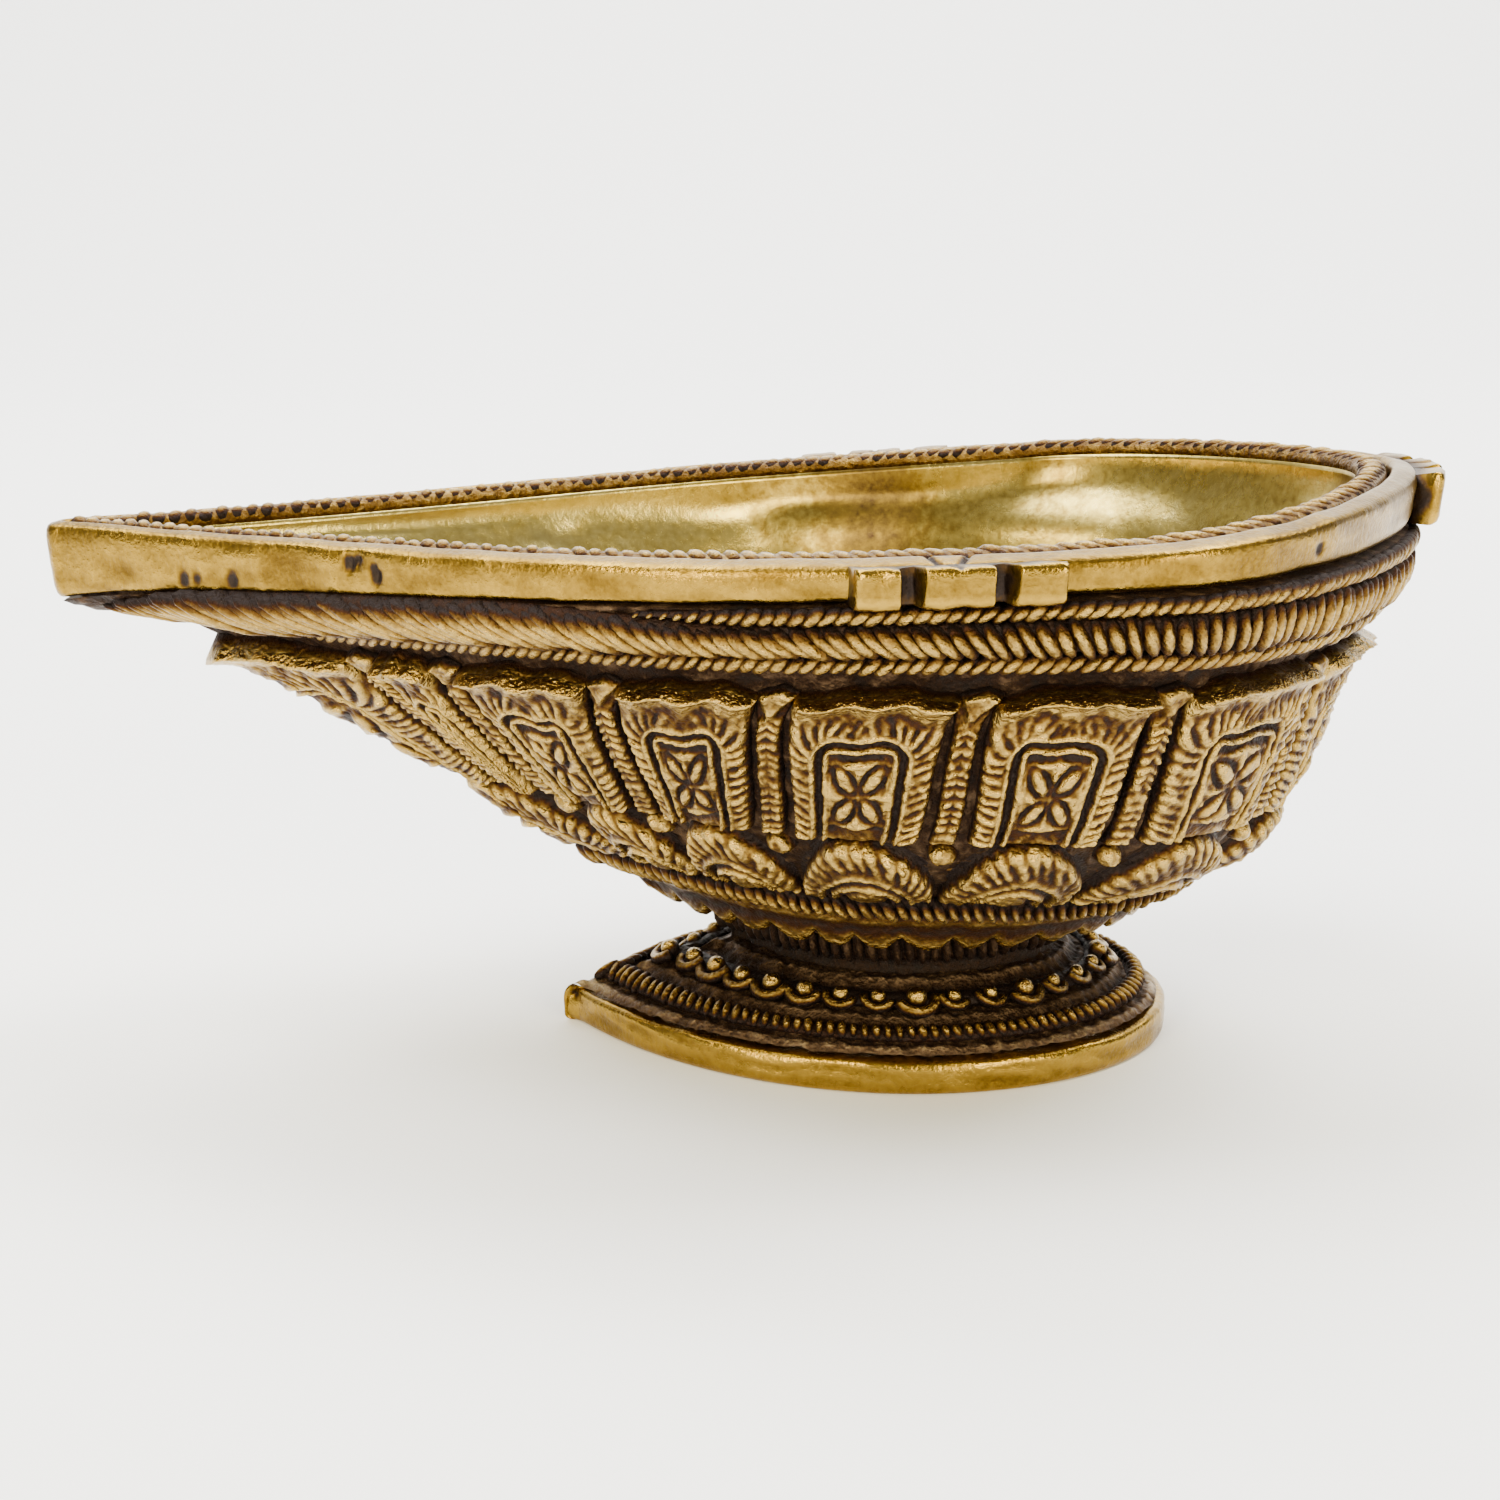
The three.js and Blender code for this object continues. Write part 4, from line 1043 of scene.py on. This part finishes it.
# %% Ribs with wedge, ladder and boss
def rib(number, start, columns=26, rows=150):
    c = np.linspace(-1, 1, columns)[None, :] * np.ones((rows, 1))
    v = np.linspace(0, 1, rows)[:, None] * np.ones((1, columns))
    last = 1.42 if 0.2 < (start if start <= 1 else 2 - start) else 0.97
    w = RECESS + mix(0.04 + 0.06 * np.abs(c), last, v)
    length_at = half_length(w)
    spots = hull(lean_share(start, w[:, columns // 2]), w[:, columns // 2])
    length = np.linalg.norm(np.diff(spots, axis=0), axis=-1).sum()
    y = v * length
    foot = 0.97 * length / last if last > 1 else length
    wedge = smooth((4.3 - y) / 1.2)
    boss_y = foot + 1.9
    boss = np.clip(1 - ((y - boss_y) / 1.75) ** 2 - c ** 2, 0, 1) ** 0.5 if last > 1 else 0 * c
    half = np.where(y < 4.5, mix(1.55, 1.0, smooth(y / 4.5)), 1.0)
    half = np.where(y > foot, mix(1.0, 1.2, smooth((y - foot))), half)
    shares = lean_share(start, w) + c * half * (RIB_WIDTH / 2) / length_at
    rungs = feathered(y, np.abs(c), 0.9, 0.1, number) * (1 - ridge(c, 0.1) * 0.35) * (1 - wedge)
    ladder = 0.42 * rungs * smooth((foot - 0.5 - y) * 2)
    taper = np.clip((1.15 - y / 4.6 - np.abs(c)) * 3, 0, 1) * wedge
    gone = smooth((y - foot + 0.6) * 2) * (last > 1)
    base = 1.1 * (1 - gone) * mix(1, 0.55 + 0.8 * taper, wedge) + 1.9 * boss - 0.2 * gone
    edge = np.minimum((1 - np.abs(c)) * half * RIB_WIDTH / 2, np.minimum(y, length - y)) * 1.3 + 0.02
    cell = (0.55 / (length / rows), 0.55 / (RIB_WIDTH / columns))
    solid = carved(shares, w, base, ladder, edge, cell)
    place(f"carved_rib_{number:02d}", [solid], [chased], "chased_brass", f"rib_{number:02d}")


for number, start in enumerate(rib_starts, 1):
    rib(number, start)

# %% [markdown]
# ## The base of the bowl
# Two rings close the bowl above its neck: a thin rope, and a scalloped lip like a row of petals seen from
# above. The lip is the last thing a cloth reaches, so its wavy edge is bright and the neck under it is black.

# %% Base rope and scalloped lip
rope("base_rope_strokes", on_hull(MOUND_FOOT + 0.16), 0.12, 1.5, ring_shares, "chased_brass", chased,
     (1.25, 0.55, 0.6), 0.35, seed=7, nodes=["base_rope"])

LOBES = 30
lip_shares = np.linspace(0, 2, 1440, endpoint=False)
# how far down, how far out, and the wear there
LIP_SECTION = [(-1.0, -0.4, -1.0), (-0.98, 0.25, -0.6), (-0.7, 0.62, 0.2), (-0.4, 0.5, -0.4),
               (-0.12, 0.55, -0.6), (0.15, 0.85, -0.2), (0.4, 1.08, 0.4), (0.62, 1.12, 1.0),
               (0.78, 0.95, 1.0), (0.86, 0.6, 1.0), (0.88, 0.2, 0.2), (0.86, -0.4, -1.0)]
lobe = np.abs(np.sin(np.pi * LOBES / 2 * lip_shares + 0.25 * np.sin(lip_shares * 31)))
rows = []
for place_down, out, worn in LIP_SECTION:
    reach = smooth((place_down + 0.5) / 1.2) * (out > 0)
    down = 0.3 * (place_down - 0.5 * reach * (1 - lobe))
    rows.append(hull(lip_shares, MOUND_FOOT + 0.62 + down, FIT + 1.05 * out + 0.7 * reach * (lobe - 0.6)))
scallop = np.array(rows)
scallop = scallop + 0.08 * ripple(scallop, 2.2, 31)[..., None] * normals(scallop)
scallop_wear = np.clip(np.array(LIP_SECTION)[:, 2:] + 0.2 * (lobe - 0.5), -1, 1)
place("scalloped_lip", [tube(scallop, scallop_wear)], [chased], "chased_brass", "scalloped_edge")

# %% [markdown]
# ## Neck and foot
# The neck is short and dark. The foot flares from it to a polished band with the same leaf outline, so the
# tip of the foot points the way the spout does. A row of beads in crescent cups and a fine rope ring it.

# %% Outlines of the foot
COVER_TOP, BAND_TOP, FOOT_WALL, COVER_INSET = 9.6, 3.8, 2.2, 1.1


def flat_outline(tip, rear, half, wide, z, nose=1.0):
    return np.array([tip, rear, half, wide, nose, 1.0, 1.0, z, z, z])


def spread(spec, out):
    """An outline grown by a distance all round."""
    grown_spec = spec.copy()
    grown_spec[TIP] -= out
    grown_spec[REAR] += out
    grown_spec[HALF] += out
    grown_spec[NOSE] = max(0.4, spec[NOSE] + out / 4)
    return grown_spec


def at_height(spec, z):
    moved = spec.copy()
    moved[Z_TIP:] = z
    return moved


neck = flat_outline(-1.6, 34.8, 12.6, 17, 0)
foot = flat_outline(-20.2, 47.1, 23.3, 18, 0)
cover_edge = spread(foot, -COVER_INSET)
cover_foot = BAND_TOP + FIT
slope = math.atan2(COVER_TOP - cover_foot, cover_edge[HALF] - neck[HALF])


def cover_row(t, out=0.0):
    """The cover's outline at place t down its flare, from the neck (0) to the foot's edge (1)."""
    spec = neck.copy()
    spec[[TIP, REAR, HALF, WIDE]] = mix(neck, cover_edge, t)[[TIP, REAR, HALF, WIDE]]
    height = mix(COVER_TOP, cover_foot, t) + out * math.cos(slope)
    return at_height(spread(spec, out * math.sin(slope)), height)


# %% [markdown]
# ### The neck
# The neck is a short waisted stem with a thin rope round it. Nobody can polish under the bowl, so both are
# nearly black.

# %% Neck
neck_z = np.linspace(SEAT_Z + 0.6, COVER_TOP - 0.3, 14)
waist = 0.35 * np.sin(np.pi * np.linspace(0, 1, 14))
neck_rows = outlines([at_height(spread(neck, -k), z) for z, k in zip(neck_z, waist)])
neck_rows = neck_rows + 0.1 * ripple(neck_rows, 2.4, 51)[..., None] * [1, 1, 0]
neck_wear = np.full(neck_rows.shape[:2], -0.85)
place("cast_neck", [vessel(neck_rows, neck_wear)], [dark], "dark_brass", "neck_stem")


NECK_ROPE_Z = 12.75


def on_neck(shares, across, out):
    far = 4
    point = Surface([spread(neck, k) for k in (0, far)]).at(shares, np.asarray(out) / far)
    point[..., 2] = NECK_ROPE_Z - across
    return point


rope("neck_rope_strokes", on_neck, 1.6, 1.4, ring_shares, "dark_brass", dark, (1.3, 0.56, 0.62), 0.15,
     seed=9, nodes=["neck_rope"], rub=0.45)

# %% [markdown]
# ### The cover of the foot
# The cover is a thin flared shell with turned rings on it. Its upper side was left as cast, rough and brown,
# and its far ends are painted a lighter grey, a painted sheen.

# %% The flared cover
flare_places = np.linspace(0, 1, 46)
flare = [cover_row(t) for t in flare_places]
under = [at_height(spread(cover_edge, -FOOT_WALL / math.sin(slope)), cover_foot)]
for t in (0.3, 0.0):
    row = cover_row(t)
    row[Z_TIP:] -= FOOT_WALL / math.cos(slope)
    under.append(row)
cover = outlines(flare + under, np.arange(720) / 720 * 2 - 1)
run = np.concatenate([flare_places, np.full(len(under), 1.2)])
rings = 0.3 * ridge(run - 0.1, 0.03) - 0.25 * ridge(run - 0.2, 0.03) + 0.25 * ridge(run - 0.56, 0.03)
rings += 0.3 * ridge(run - 0.94, 0.035) - 0.3 * ridge(run - 0.66, 0.025)
shown = (run <= 1)[:, None]
cover_height = (rings[:, None] + 0.12 * ripple(cover, 2.0, 52) + 0.08 * ripple(cover, 0.9, 53)) * shown
cover = cover + cover_height[..., None] * [0, 0, 1]
# painted sheen: the far ends of the cover are made lighter grey
painted_far_sheen = 0.7 * smooth((np.abs(cover[..., 0] - 15) - 20) / 10) * smooth((cover[..., 1] + 8) / 8)
edge_rub = 0.5 * smooth((run[:, None] - 0.86) * 8)
cover_wear_and_painted_sheen = np.clip(rubbed(cover_height, (2, 2), 0.3, True) * 0.8 - 0.3 + edge_rub + painted_far_sheen, -1, 1)
place("cast_foot_cover", [vessel(cover, cover_wear_and_painted_sheen)], [dark], "dark_brass", "foot_cover")


def on_cover(base):
    surface_rows = [[cover_row(t, out) for t in np.linspace(0, 1, 30)] for out in (0, 2)]
    low, high = (Surface(rows) for rows in surface_rows)

    def spot(shares, across, out):
        row = (base + across) * 29
        return mix(low.at(shares, row), high.at(shares, row), np.asarray(out)[..., None] / 2)
    return spot


rope("foot_rope_strokes", on_cover(0.77), 0.075, 0.9, ring_shares, "dark_brass", chased, (1.2, 0.5, 0.6), 0.2,
     seed=11, nodes=["foot_rope"])

# %% [markdown]
# ## Beads in crescent cups
# Each bead sits in a curled leaf. The pair is built once inside a geometry tree, from a ball and a bent rod,
# and set along the ring with a little turn and size of its own, because they were pressed one at a time.

# %% The bead tree
def bead_tree():
    tree = bpy.data.node_groups.new("beads_in_cups", "GeometryNodeTree")
    face = tree.interface
    face.new_socket("Geometry", in_out="INPUT", socket_type="NodeSocketGeometry")
    for name, value in (("Pitch", 0.004), ("Thickness", 0.001), ("Length", 0.00175)):
        face.new_socket(name, in_out="INPUT", socket_type="NodeSocketFloat").default_value = value
    face.new_socket("Seed", in_out="INPUT", socket_type="NodeSocketInt")
    face.new_socket("Finish", in_out="INPUT", socket_type="NodeSocketMaterial")
    face.new_socket("Geometry", in_out="OUTPUT", socket_type="NodeSocketGeometry")
    given = node(tree, "NodeGroupInput").outputs
    path = node(tree, "GeometryNodeMeshToCurve", {"Mesh": given["Geometry"]}).outputs[0]
    steps = node(tree, "GeometryNodeResampleCurve", {"Curve": path, "Length": given["Pitch"]}, mode="LENGTH")
    values = {"Segments": 10, "Rings": 7, "Radius": given["Thickness"]}
    ball = node(tree, "GeometryNodeMeshUVSphere", values).outputs["Mesh"]
    values = {"Resolution": 12, "Radius": given["Length"], "Start Angle": math.radians(10),
              "Sweep Angle": math.radians(160)}
    bow = node(tree, "GeometryNodeCurveArc", values, mode="RADIUS").outputs["Curve"]
    thin = node(tree, "ShaderNodeMath", {0: given["Thickness"], 1: 0.55}, operation="MULTIPLY").outputs[0]
    ring = node(tree, "GeometryNodeCurvePrimitiveCircle", {"Resolution": 7, "Radius": thin}).outputs["Curve"]
    values = {"Curve": bow, "Profile Curve": ring, "Fill Caps": True}
    rod = node(tree, "GeometryNodeCurveToMesh", values).outputs[0]
    pair = node(tree, "GeometryNodeJoinGeometry")
    tree.links.new(ball, pair.inputs[0])
    tree.links.new(rod, pair.inputs[0])
    position = node(tree, "GeometryNodeInputPosition").outputs[0]
    top = node(tree, "ShaderNodeSeparateXYZ", {0: position}).outputs["Z"]
    high = node(tree, "ShaderNodeMath", {0: top, 1: given["Thickness"]}, operation="DIVIDE").outputs[0]
    limits = {"Value": high, "From Min": -0.1, "From Max": 0.6, "To Min": -1.0, "To Max": 0.6}
    worn = node(tree, "ShaderNodeMapRange", limits).outputs[0]
    values = {"Geometry": pair.outputs[0], "Name": "wear", "Value": worn}
    bead = node(tree, "GeometryNodeStoreNamedAttribute", values, data_type="FLOAT").outputs[0]
    outward = node(tree, "GeometryNodeInputNamedAttribute", {"Name": "outward"}, data_type="FLOAT_VECTOR")
    tangent = node(tree, "GeometryNodeInputTangent").outputs[0]
    values = {"Primary Axis": outward.outputs["Attribute"], "Secondary Axis": tangent}
    facing = node(tree, "FunctionNodeAxesToRotation", values, primary_axis="Z", secondary_axis="X").outputs[0]
    turn = node(tree, "FunctionNodeRandomValue", {2: -0.3, 3: 0.3, "Seed": given["Seed"]}).outputs[1]
    spin = node(tree, "FunctionNodeAxisAngleToRotation", {"Axis": (0.0, 0.0, 1.0), "Angle": turn}).outputs[0]
    values = {"Rotation": facing, "Rotate By": spin}
    rotation = node(tree, "FunctionNodeRotateRotation", values, rotation_space="LOCAL").outputs[0]
    more = node(tree, "FunctionNodeRandomValue", {2: 0.8, 3: 1.2, "Seed": given["Seed"]}).outputs[1]
    values = {"Points": steps.outputs[0], "Instance": bead, "Rotation": rotation, "Scale": more}
    beads = node(tree, "GeometryNodeInstanceOnPoints", values).outputs[0]
    real = node(tree, "GeometryNodeRealizeInstances", {"Geometry": beads}).outputs[0]
    done = node(tree, "GeometryNodeSetMaterial", {"Geometry": real, "Material": given["Finish"]}).outputs[0]
    node(tree, "NodeGroupOutput", {"Geometry": done})
    return tree


spot = on_cover(0.36)
still = 0 * ring_shares
middle, above = (spot(ring_shares, still, out + still) for out in (0.75, 1.75))
bead_path = {"points": middle, "outward": above - middle}
beads = grown(bead_tree(), bead_path, chased, True, {"Pitch": 4.0, "Thickness": 1.0, "Length": 1.75}, 13)
section = [(-1, -0.2), (-0.9, 0.3), (-0.45, 0.42), (0, 0.45), (0.45, 0.42), (0.9, 0.3), (1, -0.2)]
bead_bed = np.array([spot(ring_shares, 0.085 * across + still, FIT + out + still) for across, out in section])
place("beads_in_cups", [tube(bead_bed, np.array(-0.8)), beads], [chased], "dark_brass", "foot_bead_row")

# %% [markdown]
# ### The band the lamp stands on
# Like the rim, the foot ends in a filed and polished band. It is a ring with a soft rectangular section,
# flat underneath, marked by the file along its length and by one old nick at the tip.

# %% The polished band of the foot
foot_corners = [at_height(foot, BAND_TOP), at_height(foot, 0), at_height(spread(foot, -4), 0),
                at_height(spread(foot, -4), BAND_TOP)]
foot_ring = outlines(refined(rounded(foot_corners, 1.0), 0.3))
nick = ridge(foot_ring[..., 0] + 19.2, 0.5) * ridge(foot_ring[..., 2] - 3.4, 0.7) * 0.5
marks = -0.09 * np.abs(ripple(foot_ring * [0.25, 0.25, 1.8], 3.2, 61))
marks = marks - 0.08 * np.abs(ripple(foot_ring, 9, 62))
foot_height = marks * smooth(foot_ring[..., 2] / 0.6) - nick
foot_ring = foot_ring + normals(foot_ring) * foot_height[..., None]
foot_wear = np.clip(0.6 + rubbed(foot_height, (3, 3), 0.2, True) - nick, -1, 1)
place("polished_foot_band", [tube(foot_ring, foot_wear)], [polished], "polished_brass", "foot_band")

# %% [markdown]
# ## Floor, light and camera
# Metal shows what surrounds it, so the light matters as much as the finish. Large soft panels give broad
# highlights, and the dim room between them gives the dark zones that make brass look like brass.

# %% Floor
BEND, BEND_START, PAPER_HALF, PAPER_TOP = 0.6, 0.9, 4.0, 2.5  # metres
turns = np.linspace(0, np.pi / 2, 16)
sweep = [(-PAPER_HALF, 0.0)] + [(BEND_START + BEND * math.sin(a), BEND - BEND * math.cos(a)) for a in turns]
sweep.append((BEND_START + BEND, PAPER_TOP))
sweep_points = [(x, y, z) for y, z in sweep for x in (-PAPER_HALF, PAPER_HALF)]
sweep_faces = [(2 * k, 2 * k + 1, 2 * k + 3, 2 * k + 2) for k in range(len(sweep) - 1)]
floor_mesh = bpy.data.meshes.new("floor")
floor_mesh.from_pydata(sweep_points, [], sweep_faces)
floor_mesh.shade_smooth()
floor = bpy.data.objects.new("floor", floor_mesh)
bpy.context.scene.collection.objects.link(floor)
paper = bpy.data.materials.new("white_paper")
paper.use_nodes = True
paper_shader = paper.node_tree.nodes["Principled BSDF"]
paper_shader.inputs["Base Color"].default_value = linear("#fbfbfa")
paper_shader.inputs["Roughness"].default_value = 0.8
floor_mesh.materials.append(paper)
floor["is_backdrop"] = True

# %% [markdown]
# ### Lights
# Three big panels overhead act as the windows of a studio. Two smaller warm ones stand in front at the height
# where the far wall of the well mirrors them, so the well glows on both sides of the painted dark reflection
# on its far wall.

# %% Lights
world = bpy.data.worlds.new("soft_room")
bpy.context.scene.world = world
world.use_nodes = True
room = world.node_tree.nodes["Background"]
room.inputs["Color"].default_value = linear("#fff6ea")
room.inputs["Strength"].default_value = 0.36


def panel(name, position, target, width, height, power, colour="#ffffff"):
    light = bpy.data.lights.new(name, "AREA")
    light.shape, light.size, light.size_y, light.energy = "RECTANGLE", width, height, power
    light.color = linear(colour)[:3]
    lamp = bpy.data.objects.new(name, light)
    lamp.location = position
    lamp.rotation_euler = (Vector(target) - Vector(position)).to_track_quat("-Z", "Y").to_euler()
    bpy.context.scene.collection.objects.link(lamp)


panel("overhead_left", (-0.75, 0.1, 1.3), (-0.2, 0.2, 0), 0.8, 1.0, 40.0)
panel("overhead_right", (0.8, 0.3, 1.3), (0.2, 0.3, 0), 0.7, 1.0, 40.0)
panel("overhead_back", (0.0, 1.0, 1.6), (0, 0.6, 0.1), 1.6, 0.6, 40.0)
panel("front_left", (-0.66, -0.92, 0.44), (0, 0, 0.04), 0.4, 0.45, 16.0, "#fff4c8")
panel("front_right", (0.56, -0.95, 0.34), (0, 0, 0.04), 0.4, 0.5, 13.0, "#fff4c8")

# %% [markdown]
# ### Camera
# A normal lens about 25 cm away and a little above the rim shows the near side and into the well.

# %% Camera
camera = bpy.data.objects.new("camera", bpy.data.cameras.new("camera"))
camera.data.lens, camera.data.sensor_width = 53.7, 36.0
camera.location = (-0.0061, -0.2368, 0.0902)
camera.rotation_euler = (Vector((0.0006, 0, 0.031)) - camera.location).to_track_quat("-Z", "Y").to_euler()
camera.data.clip_start = 0.01
camera.data.dof.use_dof = False
bpy.context.scene.collection.objects.link(camera)
bpy.context.scene.camera = camera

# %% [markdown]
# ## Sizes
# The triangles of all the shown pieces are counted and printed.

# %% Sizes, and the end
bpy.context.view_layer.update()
pieces = [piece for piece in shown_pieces() if piece.type == "MESH"]
total = sum(len(polygon.vertices) - 2 for piece in pieces for polygon in piece.data.polygons)
print("triangles in all:", total)
